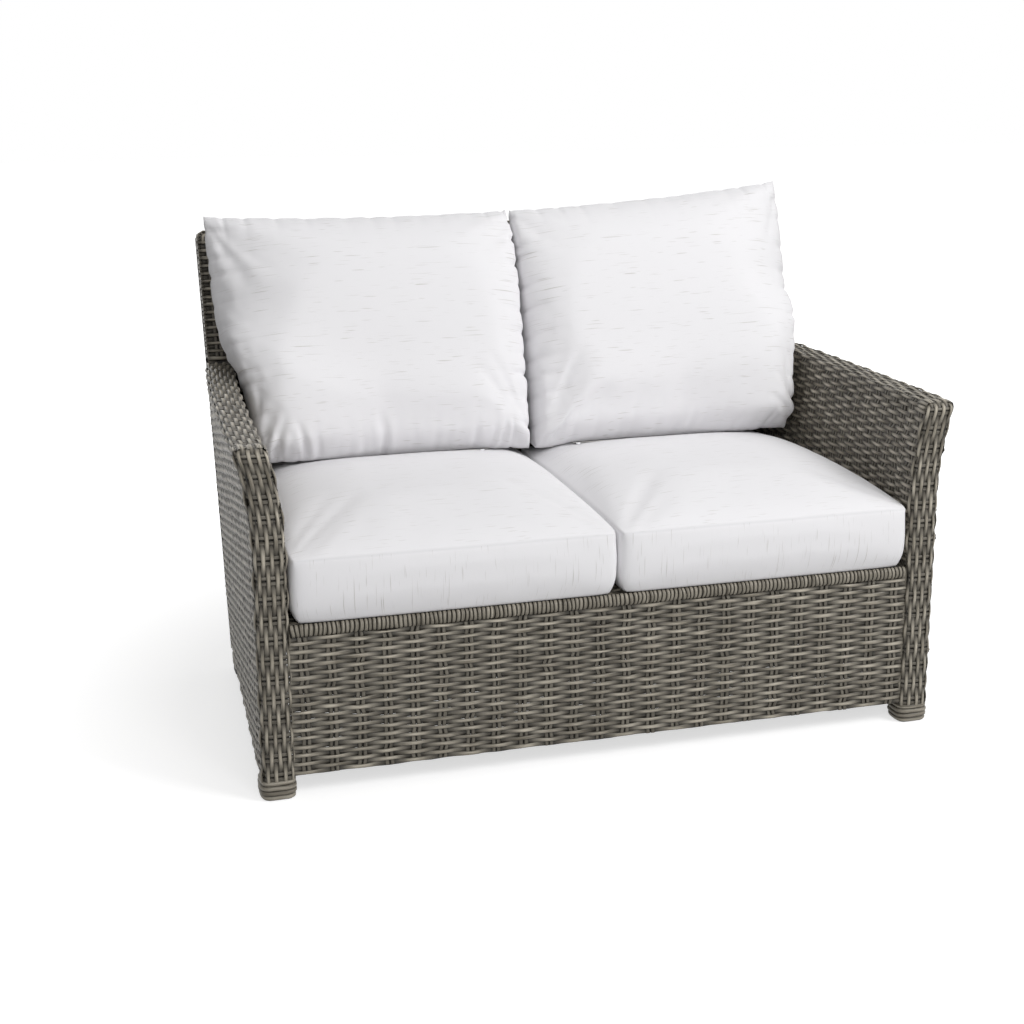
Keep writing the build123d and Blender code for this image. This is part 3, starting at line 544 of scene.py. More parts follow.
# %% Rolled edge of the apron
roll_count = round(2 * apron_half / STRAND_PITCH)
roll_pitch = 2 * apron_half / roll_count
roll_half_deep, roll_half_high = 8.5, (deck_top - roll_low) / 2
roll_thick = 2.6
wrap = roll_strand(10, 6, 1.0, 0.96 * roll_pitch * MM, roll_thick * MM)
for vertex in wrap.data.vertices:
    share, depth, across = vertex.co
    turn_angle = -0.5 * pi + pi * share
    half_high = (roll_half_high - roll_thick / 2) * MM - depth
    half_deep = (roll_half_deep - roll_thick / 2) * MM - depth
    middle_y = (apron_face - 5.0 + roll_half_deep) * MM
    middle_z = (deck_top + roll_low) / 2 * MM
    vertex.co = (across, middle_y - half_deep * cos(turn_angle), middle_z + half_high * sin(turn_angle))
repeat(wrap, roll_count, (roll_pitch * MM, 0, 0))
for vertex in wrap.data.vertices:
    vertex.co.x += (roll_pitch / 2 - apron_half) * MM
    vertex.co.z += 0.6 * MM * noise.noise(Vector((vertex.co.x * 90.0, 2.0, 0.0)))
    vertex.co.x += 2.6 * MM * noise.noise(Vector((vertex.co.x * 42.0, vertex.co.z * 45.0, 3.0)))
wrap.name = wrap.data.name = "apron_edge_wraps"
fill_uv(wrap, lambda point: (point.z, point.x + 5.0))
coat(wrap, resin)
dress(wrap, "apron_edge_roll")

# %% [markdown]
# ## Arms
# Each arm is wrapped in one go: up the outer side, over the rounded top and down the inner side, with
# all strands along the depth. Here that is three sheets that share one path across the arm, so the rows
# follow on. The inner side steps in by a few millimetres behind the post.


# %% A smooth step
def ease(value, low, high):
    """A smooth step from 0 to 1 between two places."""
    share = min(1.0, max(0.0, (value - low) / (high - low)))
    return share * share * (3 - 2 * share)


# %% Path across an arm
edge_radius = 8.0
outer_run = arm_height - edge_radius - skin_low
bend = edge_radius * pi / 2
top_run = post_size - 2 * edge_radius
inner_run = arm_height - edge_radius - deck_top


def arm_point(y, path, out):
    """A point of the arm's skin at a depth in Y, a run of path up, over and down, and out from it."""
    if path <= outer_run:
        height = skin_low + path
        return (arm_x(y, height) + out, y, height)
    path -= outer_run
    top_x = arm_x(y, arm_top)
    if path <= bend:
        angle = path / edge_radius
        reach = edge_radius + out
        x = top_x - edge_radius + reach * cos(angle)
        return (x, y, arm_height - edge_radius + reach * sin(angle))
    path -= bend
    if path <= top_run:
        return (top_x - edge_radius - path, y, arm_height + out)
    path -= top_run
    if path <= bend:
        angle = path / edge_radius
        reach = edge_radius + out
        x = top_x - post_size + edge_radius - reach * sin(angle)
        return (x, y, arm_height - edge_radius + reach * cos(angle))
    height = arm_height - edge_radius - (path - bend)
    step_in = (post_size - panel) * (1 - ease(y, post_back, post_back + 25.0))
    step_in = max(step_in, (post_size - panel) * ease(height, arm_top - 20.0, arm_top))
    return (arm_x(y, height) - panel - step_in - out, y, height)


# %% [markdown]
# The rows of the three sheets share one scale along that path. Each sheet is cut where the back begins, the
# outer and inner ones along its lean, and the left arm is the mirror image of the right one.

# %% Weave the arms
arm_start = front_y + 11.0
arm_length = 800.0
arm_pair = 33.0
top_start = 2 * STRAND_PITCH * round(outer_run / (2 * STRAND_PITCH))
top_end = top_start + 2 * STRAND_PITCH * round((top_run + 2 * bend) / (2 * STRAND_PITCH))
whole_run = outer_run + 2 * bend + top_run + inner_run
run_scale = whole_run / (2 * STRAND_PITCH * round(whole_run / (2 * STRAND_PITCH)))
slope = tan(lean)


def arm_sheet(name, start, end, cut_height, cut_depth, cut_slope, seed):
    """One of the three sheets of an arm, cut off along the lean of the back."""
    sheet = weave_sheet(name, arm_length, end - start, arm_pair, sides=7)
    cut_u = back_y(cut_height, cut_depth) - arm_start
    trim(sheet, (cut_u * MM, 0, 0), (1, 0, -cut_slope))
    lay(
        sheet,
        lambda u, v, out: arm_point(arm_start + u, (start + v) * run_scale, out),
        seed,
        wander=13.0,
        end=lambda v: cut_u + cut_slope * v,
    )
    return sheet


run_end = whole_run / run_scale
outer_strands = arm_sheet("arm_outer_strands_right", 0, top_start, skin_low, 4.0, slope, 2.0)
top_strands = arm_sheet("arm_top_strands_right", top_start, top_end, arm_height, 54.0, 0, 3.0)
inner_strands = arm_sheet(
    "arm_inner_strands_right", top_end, run_end, arm_height - 8.0, 47.0, -slope, 4.0
)
for strands, node in (
    (outer_strands, "arm_outer_weave"),
    (top_strands, "arm_top_wrap"),
    (inner_strands, "arm_inner_weave"),
):
    twin = left_twin(strands, strands.name.replace("right", "left"))
    dress(strands, f"{node}_right")
    dress(twin, f"{node}_left")

# %% [markdown]
# ## Front posts
# The face of a front post has upright strands over pairs of level ones, 36 mm apart. They turn round both
# edges of the post, and at the top they bend over the front of the arm and end a little way along it.

# %% Front of the posts
post_edge = 15.0
over_radius = 17.0
face_run = post_size - 2 * post_edge
post_bend = post_edge * pi / 2
post_path = face_run + 2 * post_bend
post_low = 25.0
straight_run = arm_height - over_radius - post_low
over_run = over_radius * pi / 2
post_tail = 26.0


def post_point(u, v, out):
    """A point of the front post's face: u up the post and over the arm, v across from the outer side."""
    if v < post_bend:
        angle = pi / 2 - v / post_edge
        side = post_size / 2 - post_edge + (post_edge + out) * sin(angle)
        sunk = post_edge - (post_edge + out) * cos(angle)
    elif v < post_bend + face_run:
        side = post_size / 2 - post_edge - (v - post_bend)
        sunk = -out
    else:
        angle = (v - post_bend - face_run) / post_edge
        side = -(post_size / 2 - post_edge) - (post_edge + out) * sin(angle)
        sunk = post_edge - (post_edge + out) * cos(angle)
    if u < straight_run:
        y, z = front_y + sunk, post_low + u
    elif u < straight_run + over_run:
        angle = (u - straight_run) / over_radius
        reach = over_radius - sunk
        y = front_y + over_radius - reach * cos(angle)
        z = arm_height - over_radius + reach * sin(angle)
    else:
        y = front_y + over_radius + (u - straight_run - over_run)
        z = arm_height - sunk
    middle = front_half - post_size / 2 + flare_shift(z)
    return (middle + side, y, z)


post_strands = weave_sheet(
    "front_post_strands_right", straight_run + over_run + post_tail, post_path, 36.0
)
lay(post_strands, lambda u, v, out: post_point(u, v, out + 0.8), 5.0)
post_twin = left_twin(post_strands, "front_post_strands_left")
dress(post_strands, "front_post_wrap_right")
dress(post_twin, "front_post_wrap_left")

# %% [markdown]
# ## Feet
# The last few centimetres of each leg are bound with level rings of the same strand, and the lowest ring
# is a little smaller, so the foot ends round. One ring is a strand rolled up and bent round a square
# with soft corners.


# %% Rings round the feet
def foot_ring(middle, half, height):
    """One level ring of strand round a leg, half as wide as it says; all in millimetres."""
    thick, corner = 8.0, 0.56
    ring = roll_strand(44, 10, 1.0, 9.0 * MM, thick * MM)
    for vertex in ring.data.vertices:
        share, sunk, across = vertex.co
        angle = tau * share
        round_x = (abs(cos(angle)) ** corner) * (1 if cos(angle) > 0 else -1)
        round_y = (abs(sin(angle)) ** corner) * (1 if sin(angle) > 0 else -1)
        reach = (half - thick / 2) * MM - sunk
        reach += 0.7 * MM * noise.noise(Vector((4 * cos(angle), 4 * sin(angle), height)))
        x, y = middle[0] * MM + reach * round_x, middle[1] * MM + reach * round_y
        vertex.co = (x, y, height * MM + across)
    merge_points(ring, 1e-6, outwards=True)
    fill_uv(ring, lambda point: (point.x + point.y, point.z * 1.3 + height))
    return ring


front_feet, rear_feet = [], []
for side in (1, -1):
    for count, half in enumerate((30.2, 31.8, 32.0, 30.8)):
        middle = (side * (front_half - post_size / 2), front_y + post_size / 2)
        front_feet.append(foot_ring(middle, half, 5.0 + 8.6 * count))
    for count, half in enumerate((25.5, 27.2, 27.6, 27.4)):
        height = 11.0 + 7.4 * count
        middle = (side * (back_half(23.0) - panel / 2), back_y(height, panel / 2))
        rear_feet.append(foot_ring(middle, half, height))
for rings, name, node in (
    (front_feet, "front_foot_rings", ()),
    (rear_feet, "rear_foot_rings", ("rear_foot_wraps",)),
):
    bound = join_pieces(rings, name)
    coat(bound, resin)
    dress(bound, *node)

# %% [markdown]
# ## Back
# The rear sheet turns round both sides of the leaning back as far as its front corners. The front sheet
# fills the space between the arms and, above them, the full width. The top is wrapped like the arms, with
# the strands bent down at both ends.


# %% Back sheets
def back_point(x, up, depth):
    """A point of the back panel: across, up the lean and forward from the rear face."""
    return (x, back_foot + up * sin(lean) - depth * cos(lean), up * cos(lean) + depth * sin(lean))


def up_of(height, depth=0.0):
    """The run up the lean at a height, forward of the rear face by a depth."""
    return (height - depth * sin(lean)) / cos(lean)


rear_low = up_of(skin_low)


def rear_point(u, v, out):
    """Round the back: the right side forward to rear, the rear face, the left side rear to forward."""
    up = rear_low + v
    half = back_half(up * cos(lean))
    middle_run = 2 * back_high
    if u < panel:
        return back_point(half + out, up, panel - u)
    if u < panel + middle_run:
        x = back_high - (u - panel)
        return back_point(x * half / back_high, up, -out)
    return back_point(-half - out, up, u - panel - middle_run)


def rear_drop(u, v):
    """Below the arms the sides belong to the arms' own sheets."""
    low = (rear_low + v) * cos(lean) < arm_height - 4.0
    return low and not (panel - 9.0 < u < panel + 2 * back_high + 9.0)


rear_strands = weave_sheet(
    "back_outer_strands", 2 * (back_high + panel), cap_up - rear_low, 45.0, sides=6
)
drop_points(rear_strands, rear_drop)
lay(rear_strands, rear_point, 6.0)
dress(rear_strands, "back_outer_weave", "back_side_wrap_left", "back_side_wrap_right")

# %% [markdown]
# The front sheet starts at the deck, and it is as wide as the back only above the arms.

# %% Front of the back
inner_low = up_of(deck_top, panel)


def inner_point(u, v, out):
    """A point of the front face: u across from the left, v up the lean."""
    up = inner_low + v
    half = back_half(up * cos(lean) + panel * sin(lean))
    return back_point((u - back_high) * half / back_high, up, panel + out)


def inner_drop(u, v):
    """Between the arms below their tops, and the full width above."""
    low = (inner_low + v) * cos(lean) + panel * sin(lean) < arm_height - 4.0
    return low and abs(u - back_high) > back_high - panel + 3.0


inner_back = weave_sheet("back_inner_strands", 2 * back_high, cap_up - inner_low, 45.0, sides=6)
drop_points(inner_back, inner_drop)
lay(inner_back, inner_point, 7.0)
dress(inner_back, "back_inner_weave")

# %% [markdown]
# Over the top, the sheet turns round both long edges, and its ends bend down the sides.

# %% Top of the back
cap_round = 11.0
cap_radius = 16.0
cap_side = top_up - cap_up - cap_round
cap_flat = panel - 2 * cap_round
cap_path = 2 * cap_side + 2 * cap_round * pi / 2 + cap_flat
cap_half = back_high - cap_radius
cap_bend = cap_radius * pi / 2
cap_tail = 12.0


def cap_point(u, v, out):
    """Along the top from right to left, and over it from the rear to the front."""
    quarter = cap_round * pi / 2
    if v < cap_side:
        depth, sunk = -out, cap_round + cap_side - v
    elif v < cap_side + quarter:
        angle = (v - cap_side) / cap_round
        depth = cap_round - (cap_round + out) * cos(angle)
        sunk = cap_round - (cap_round + out) * sin(angle)
    elif v < cap_side + quarter + cap_flat:
        depth, sunk = cap_round + (v - cap_side - quarter), -out
    elif v < cap_side + 2 * quarter + cap_flat:
        angle = (v - cap_side - quarter - cap_flat) / cap_round
        depth = panel - cap_round + (cap_round + out) * sin(angle)
        sunk = cap_round - (cap_round + out) * cos(angle)
    else:
        depth, sunk = panel + out, cap_round + (v - cap_side - 2 * quarter - cap_flat)
    run = u - cap_tail - cap_bend - cap_half
    side = 1.0 if run < 0 else -1.0
    run = abs(run)
    if run <= cap_half:
        x, drop_down = run, sunk
    elif run <= cap_half + cap_bend:
        angle = (run - cap_half) / cap_radius
        reach = cap_radius - min(sunk, cap_radius)
        x = cap_half + reach * sin(angle)
        drop_down = cap_radius - reach * cos(angle)
    else:
        x = cap_half + cap_radius - min(sunk, cap_radius)
        drop_down = cap_radius + run - cap_half - cap_bend
    return back_point(side * x, top_up - drop_down, depth)


cap_strands = weave_sheet(
    "back_top_strands", 2 * (cap_half + cap_bend + cap_tail), cap_path, 45.0
)
lay(cap_strands, cap_point, 8.0)
dress(cap_strands, "back_top_wrap")

# %% [markdown]
# ## Seat deck
# Under the cushions the deck is woven from a wider flat strand, 12 mm, because nobody sees it until a
# cushion is lifted. It is the same sheet, pressed flatter and narrowed towards the back.

# %% Deck
deck_front, deck_rear = -400.0, 268.0
deck = weave_sheet("seat_deck_strands", 2 * apron_half, deck_rear - deck_front, 60.0, sides=6, pitch=12.0)


def deck_point(u, v, out):
    """A point of the deck, pressed to 0.6 of the weave's thickness."""
    y = deck_front + v
    half = arm_x(y, deck_top) - panel + 2.0
    return ((u / apron_half - 1.0) * half, y, 303.0 + 0.6 * (out + 4.0))


lay(deck, deck_point, 9.0)
dress(deck, "seat_deck_weave")

# %% [markdown]
# ## Cushions
# Each cushion is a sewn cover that is filled until it is plump, so that is how it is made here. A flat
# grid becomes each panel, the seams join them, and the panels are shaped as the measured cushion is. Then
# a cloth simulation with air pressure swells the cover while its seams are held. Along each cushion, its
# shape is given at a few stations, with a smooth curve through them.


# %% A curve through stations
def through(places, values, place):
    """A value between stations, on a smooth curve through them."""
    last = len(places) - 1
    index = min(last - 1, max(0, sum(1 for other in places if other <= place) - 1))
    low, high = places[index], places[index + 1]
    share, gap = (place - low) / (high - low), high - low

    def grade(at):
        before, after = max(at - 1, 0), min(at + 1, last)
        return (values[after] - values[before]) / (places[after] - places[before]) * gap

    square, cube = share**2, share**3
    value = (2 * cube - 3 * square + 1) * values[index] + (3 * square - 2 * cube) * values[index + 1]
    return value + (cube - 2 * square + share) * grade(index) + (cube - square) * grade(index + 1)


# %% [markdown]
# The stations of a seat cushion run from front to rear: the extra height of its seam, the crown above the
# seam, and how far the sides draw in. Those of a back cushion run from bottom to top: its thickness, how
# far each side draws in, and how much its top corner rises.

# %% Sizes of the cushions in millimetres
seat_low, seat_seam, seat_front, seat_rear = 306.3, 105.0, -418.0, 236.2
seat_places = (0.0, 0.03, 0.12, 0.35, 0.62, 0.835, 0.96, 1.0)
seat_rises = (6.0, 8.5, 11.0, 13.0, 13.0, 9.1, 7.8, 6.5)
seat_crowns = (1.0, 15.0, 28.0, 35.0, 32.0, 20.0, 9.0, 3.0)
seat_draws = (4.5, 1.2, 0.4, 0.0, 0.0, 0.5, 2.0, 5.0)

pillow_wide, pillow_high, pillow_foot_y, pillow_foot_z = 580.0, 482.0, 118.8, 441.6
pillow_lean = radians(21.5)
pillow_places = (0.0, 0.1, 0.25, 0.4, 0.52, 0.66, 0.8, 0.91, 1.0)
pillow_fills = (0.72, 0.9, 1.0, 1.0, 1.0, 0.93, 0.78, 0.58, 0.36)
outer_draws = (11.0, 1.0, -1.0, -12.0, 9.0, 3.0, 2.0, 1.0, 3.0)
inner_draws = (3.0, 1.0, 0.3, 0.0, 0.0, 0.0, 0.2, 0.4, 1.5)
corner_rises = (0.0, 0.0, 0.0, 0.05, 0.15, 0.3, 0.5, 0.75, 1.0)
pillow_outers = []
for index, share in enumerate(pillow_places):
    y = pillow_foot_y + pillow_high * share * sin(pillow_lean)
    z = pillow_foot_z + pillow_high * share * cos(pillow_lean)
    limit = arm_x(y, min(z, arm_top)) - post_size - 1.0 if index <= 3 else back_half(z) - 3.0
    pillow_outers.append(limit - outer_draws[index])
seat_width, seat_depth, seat_height = 0.56, 0.65, 0.105
# Where the measured zips lie: height, half length and rear face at the seat, depth and height at the back
seat_zip_z, seat_zip_half, seat_zip_y = 358.8, 211.0, 236.3
pillow_zip_y, pillow_zip_z = 121.5, 448.2
print("pillow outer side, mm:", [round(x) for x in pillow_outers])

# %% [markdown]
# ### Covers
# A cover starts as a unit box or a unit square bag, so each point knows where it is on its panel. The
# seams are the edges between panels.


# %% Sewing helpers
def unit_grid(columns, rows, height):
    """A grid from 0 to 1 at a height."""
    start_clean()
    bpy.ops.mesh.primitive_grid_add(
        x_subdivisions=columns, y_subdivisions=rows, size=1, location=(0.5, 0.5, height)
    )
    bpy.ops.object.transform_apply(location=True)
    return bpy.context.object


def unit_box(name, columns, rows, layers):
    """A box cover: two grids as panels, bridged by the boxing; every point is in 0 to 1."""
    panels = [unit_grid(columns, rows, height) for height in (0.0, 1.0)]
    panels[0].data.flip_normals()
    cover = join_pieces(panels, name)
    bpy.ops.object.mode_set(mode="EDIT")
    bpy.ops.mesh.select_all(action="SELECT")
    bpy.ops.mesh.select_mode(type="EDGE")
    bpy.ops.mesh.select_all(action="DESELECT")
    bpy.ops.mesh.select_non_manifold()
    bpy.ops.mesh.bridge_edge_loops(number_cuts=layers - 1)
    bpy.ops.mesh.select_all(action="SELECT")
    bpy.ops.mesh.normals_make_consistent(inside=False)
    bpy.ops.object.mode_set(mode="OBJECT")
    return cover


def unit_bag(name, columns, rows):
    """A knife-edge cover: a front grid at 1 and a back grid at -1, merged along their edges at 0."""
    panels = []
    for side in (1.0, -1.0):
        panel = unit_grid(columns, rows, 0)
        for vertex in panel.data.vertices:
            on_edge = min(vertex.co.x, 1 - vertex.co.x, vertex.co.y, 1 - vertex.co.y) < 1e-5
            vertex.co.z = 0.0 if on_edge else side
        panels.append(panel)
    panels[1].data.flip_normals()
    cover = join_pieces(panels, name)
    merge_points(cover, 1e-5)
    return cover


# %% [markdown]
# Air pressure swells the cover for 20 frames while its seams are held. The fill then evens out all but the
# broad folds.


# %% Swell a cover with air
def inflate(cover, held, growth, pressure, bending, cap, smoothing):
    """Swells a cover while the held points stay, and limits how far a point moves."""
    pick(cover)
    rest = [vertex.co.copy() for vertex in cover.data.vertices]
    cover.vertex_groups.new(name="seams").add(held, 1.0, "ADD")
    cloth = cover.modifiers.new("cloth", "CLOTH")
    cloth.settings.quality = 5
    cloth.settings.mass = 0.3
    cloth.settings.bending_stiffness = bending
    cloth.settings.use_pressure = True
    cloth.settings.uniform_pressure_force = pressure
    cloth.settings.vertex_group_mass = "seams"
    cloth.settings.shrink_min = -growth
    cloth.settings.effector_weights.gravity = 0
    cloth.collision_settings.use_collision = False
    cloth.point_cache.frame_end = 20
    for step in range(1, 21):
        bpy.context.scene.frame_set(step)
    bpy.ops.object.modifier_apply(modifier=cloth.name)
    bpy.context.scene.frame_set(1)
    moved = 0.0
    for vertex, start in zip(cover.data.vertices, rest):
        move = vertex.co - start
        moved = max(moved, move.length)
        if move.length > cap:
            vertex.co = start + move * (cap / move.length)
    cover.vertex_groups.new(name="loose").add(sorted(set(range(len(rest))) - set(held)), 1.0, "ADD")
    even = cover.modifiers.new("even", "SMOOTH")
    even.factor = 0.5
    even.iterations = smoothing
    even.vertex_group = "loose"
    bpy.ops.object.modifier_apply(modifier=even.name)
    cover.vertex_groups.clear()
    print(cover.name, "points:", len(rest), "largest move, mm:", round(moved / MM, 1))


# %% [markdown]
# The fabric's pattern follows the cover. The direction of its threads goes into a UV map, in metres, because
# its slubs run across on the panels and upright on the boxing. The distance to the nearest seam goes into
# an attribute.


# %% Finish a cover
def finish_cover(cover, side, seam_distance, thread_uv):
    """Stores the seam distance and the thread directions, smooths once, and mirrors a left cover."""
    mesh = cover.data
    mesh.attributes.new("seam", "FLOAT", "POINT").data.foreach_set("value", seam_distance)
    layer = mesh.uv_layers[0]
    layer.name = "thread"
    for face in mesh.polygons:
        for place, uv in zip(face.loop_indices, thread_uv(face)):
            layer.data[place].uv = uv
    pick(cover)
    smooth = cover.modifiers.new("smooth", "SUBSURF")
    smooth.levels = smooth.render_levels = 1
    bpy.ops.object.modifier_apply(modifier=smooth.name)
    coat(cover, fabric)
    if side < 0:
        mirror(mesh)
    return cover


def dress_cushion(cover, kind, inside, side_name):
    """Ties a cover to its cushion's body, in place of the plain cover and what it holds."""
    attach(cover, f"{kind}_cushion_{side_name}")
    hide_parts(f"{kind}_cushion_cover_{side_name}", f"{kind}_cushion_{inside}_{side_name}")


# %% [markdown]
# ## Cushion fabric
# The cover is a woven outdoor acrylic with slubs: threads that are thicker for a centimetre or two and
# take less light, so fine broken lines run one way over an off-white ground. The threads are about
# 0.5 mm apart, finer than a pixel here, so they are drawn 1 mm apart.


# %% Fabric material
def fabric_material(name, ground, slub):
    """Solution-dyed woven acrylic: matt, slubbed one way, a hair of sheen, slightly shaded seams."""
    material = new_material(name)
    uv = add_node(material, "ShaderNodeUVMap", uv_map="thread").outputs[0]
    # Two sets of slubs, about 77 and 48 mm long, each about 2.4 mm wide at most
    slubs = [
        noise_node(material, scaled(material, uv, size, start), 1.0, 1.0, 0.4)
        for size, start in (((13.0, 440.0, 1.0), (0.0, 0.0, 0.0)), ((21.0, 400.0, 1.0), (9.0, 27.0, 0.0)))
    ]
    both = math_node(material, "MAXIMUM", *slubs)
    lines = ramp_node(material, both, (0.685, "#000000"), (0.76, "#ffffff"))
    amount = math_node(material, "MULTIPLY", lines, noise_node(material, uv, 9.0, 3.0))
    dyed = blend_node(material, "MIX", amount, linear(ground), linear(slub))
    # A seam holds a thin line of shade, 4 mm wide
    seam = add_node(material, "ShaderNodeAttribute", attribute_name="seam").outputs["Fac"]
    near = {0: seam, 1: 0.0, 2: 0.004, 3: 0.88, 4: 1.0}
    shade = add_node(material, "ShaderNodeMapRange", near).outputs[0]
    colour = blend_node(material, "MULTIPLY", 1.0, dyed, shade)
    # Weave: threads both ways, 1 mm apart
    threads = noise_node(material, scaled(material, uv, (1000.0, 1000.0, 1.0)), 1.0, 2.0, 0.7)
    relief = math_node(material, "MULTIPLY_ADD", threads, 0.5, lines)
    return add_surface(
        material,
        colour,
        relief,
        0.5,
        0.4 * MM,
        Roughness=0.88,
        IOR=1.45,
        Sheen_Weight=0.12,
        Sheen_Roughness=0.5,
    )


fabric = fabric_material("woven slub acrylic", "#ecebed", "#b5b1aa")
print("fabric material:", fabric.name)

# %% [markdown]
# ## Seat cushions
# A seat cushion is a box cushion: a crowned top panel, upright boxing 105 mm high, and a flat bottom that
# rests on the deck. Its front corners draw in a little and its lower edge is rounded where the foam
# gives.


# %% Seat cushions
def seat_point(a, b, c, inner_x):
    """A point of the right seat cushion; a across, b from front to rear, c from bottom to top."""
    y = seat_front + b * (seat_rear - seat_front)
    share = (y - post_back) / (back_y(deck_top, 0) - post_back)
    wall = min(front_half - (front_half - back_half(deck_top)) * max(0.0, share) - panel, apron_half)
    draw = through(seat_places, seat_draws, b)
    bulge = 2.0 * (1 - (2 * c - 1) ** 2)
    under = 9.0 * max(0.0, 1 - c / 0.14) ** 2
    near = inner_x + draw + 2.0 - bulge + under
    far = wall - 1.0 - draw - 2.0 + bulge - under
    corner = through(seat_places, seat_draws, a)
    front_in = corner * 0.8 - bulge + under
    y += front_in * max(0.0, 1 - b / 0.08) ** 2 - (corner * 0.5 + under) * max(0.0, (b - 0.92) / 0.08) ** 2
    sag = 0.8 * noise.noise(Vector((a * 5, b * 5, inner_x)))
    seam = seat_seam + through(seat_places, seat_rises, b) + sag
    rise = seat_low + c * seam
    if c > 0.999:
        rise += through(seat_places, seat_crowns, b) * max(0.0, 1 - abs(2 * a - 1) ** 7) ** 0.6
    return Vector((near + a * (far - near), y, rise))


# %% [markdown]
# Once it is swollen, the cover gives way where something holds it: it stays on the deck and between its
# neighbours, its zip draws the rear boxing in, and the back cushion presses a trough into its top.


# %% Hold a seat cushion in place
def settle_seat(mesh, inner_x, zip_x):
    front_limit, outer_limit = -424.0, 562.9
    trough_y, trough_z, trough_half = 121.0, 444.0, 8.0
    for vertex in mesh.vertices:
        x, y, z = (value / MM for value in vertex.co)
        x, z = min(max(x, inner_x), outer_limit), max(z, seat_low)
        past_zip = max(0.0, abs(z - seat_zip_z) - 4.0) + max(0.0, abs(x - zip_x) - seat_zip_half)
        y = min(max(y, front_limit), seat_zip_y + 0.3 * past_zip)
        if z > 400.0:
            z = min(z, trough_z + 0.6 * max(0.0, abs(y - trough_y) - trough_half))
        vertex.co = Vector((x, y, z)) * MM


# %% [markdown]
# The cover is sewn, shaped, swollen, settled and finished in that order. Its columns and rows stand closer
# near the seams, where the crown turns down.


# %% Sew the seat cushions
def seat_cushion(name, inner_x, side, zip_x):
    cover = unit_box(name, 78, 92, 14)
    mesh = cover.data
    for vertex in mesh.vertices:
        vertex.co.x -= 0.07 * sin(tau * vertex.co.x)
        vertex.co.y -= 0.05 * sin(tau * vertex.co.y)
    places = [vertex.co.copy() for vertex in mesh.vertices]
    held, seam_distance = [], []
    for index, (a, b, c) in enumerate(places):
        mesh.vertices[index].co = seat_point(a, b, c, inner_x) * MM
        edge = min(a * seat_width, (1 - a) * seat_width, b * seat_depth, (1 - b) * seat_depth)
        seam_distance.append(edge + min(abs(1 - c), abs(c)) * seat_height)
        if c < 0.001 or (edge < 1e-4 and c > 0.999):
            held.append(index)
    inflate(cover, held, 0.003, 2.5, 0.4, 14 * MM, 20)
    settle_seat(mesh, inner_x, zip_x)

    def thread_uv(face):
        corners = [places[index] for index in face.vertices]
        if all(c > 0.999 for _, _, c in corners) or all(c < 0.001 for _, _, c in corners):
            return [(a * seat_width, b * seat_depth) for a, b, _ in corners]
        if max(b for _, b, _ in corners) < 1e-4 or min(b for _, b, _ in corners) > 0.9999:
            return [(c * seat_height, a * seat_width + 2.0) for a, _, c in corners]
        return [(c * seat_height, b * seat_depth + 4.0) for _, b, c in corners]

    return finish_cover(cover, side, seam_distance, thread_uv)


seats = {}
for side_name, inner_x, side, zip_x in (("right", 8.5, 1, 275.3), ("left", -7.5, -1, 267.3)):
    seats[side_name] = seat_cushion(f"seat_cushion_{side_name}_cloth", inner_x, side, zip_x)
    dress_cushion(seats[side_name], "seat", "foam", side_name)

# %% [markdown]
# ## Back cushions
# A back cushion is a knife-edge pillow: two panels that meet in one seam all round. It leans on the back,
# fullest just below its middle.


# %% Back cushions
def pillow_point(a, b, c, inner_x, rise):
    """A point of the right back cushion; a across, b up, c is 1 in front, -1 behind, 0 on the seam."""
    near = inner_x + through(pillow_places, inner_draws, b)
    far = through(pillow_places, pillow_outers, b)
    turn = rise * through(pillow_places, corner_rises, b) / (far - near)
    fill = through(pillow_places, pillow_fills, b)
    nose = min(1.0, min(b, 1 - b) / 0.055)
    full = (10.0 + (86.0 if c > 0 else 98.0) * fill) * sqrt(1 - (1 - nose) ** 2)
    # A side is round where it is free, and nearly flat where the arm or the other cushion presses it
    pressed = 1 - ease(b, 0.42, 0.66) if a > 0.5 else 1 - 0.35 * ease(b, 0.85, 1.0)
    side_share = max(0.0, 1 - abs(2 * a - 1) ** (3.6 + 5.4 * pressed)) ** (0.45 - 0.25 * pressed)
    depth = -c * full * side_share * 0.96
    lean_out = 9.0 * max(0.0, -depth / 100) * pressed * max(0.0, 2 * a - 1)
    depth -= 42.0 * ease(a, 0.5, 1.0) * (1 - ease(b, 0.2, 0.6))
    up = pillow_high * b + 5.0 * noise.noise(Vector((a * 7.0, b * 2.0, inner_x))) * (1 - b) ** 2
    up += 6.0 * b - (9.0 * sin(pi * a) ** 0.6 - 2.0) * b**6
    run = a * (far - near)
    if a < 0.5 and c:
        # Past the seam the cloth swells against the other cushion
        run -= 9.0 * pressed * max(0.0, 1 - a / 0.05)
    x = near + run * cos(turn) + lean_out
    up += run * sin(turn)
    y = pillow_foot_y + up * sin(pillow_lean) + depth * cos(pillow_lean)
    z = pillow_foot_z + up * cos(pillow_lean) - depth * sin(pillow_lean)
    return Vector((x, y, z))


# %% [markdown]
# Its lower edge has creases where the fill is pressed on the seat, and its seam gathers the cloth every
# 45 mm or so. Both are drawn in along the normals of the swollen cover.


# %% Creases and puckers
def bell(value):
    """A bell curve of height 1."""
    return exp(-value * value)


def draw_in(mesh, depths):
    """Moves each point inwards along its normal by a depth in millimetres."""
    normals = [vertex.normal.copy() for vertex in mesh.vertices]
    for vertex, depth, normal in zip(mesh.vertices, depths, normals):
        vertex.co -= normal * depth * MM


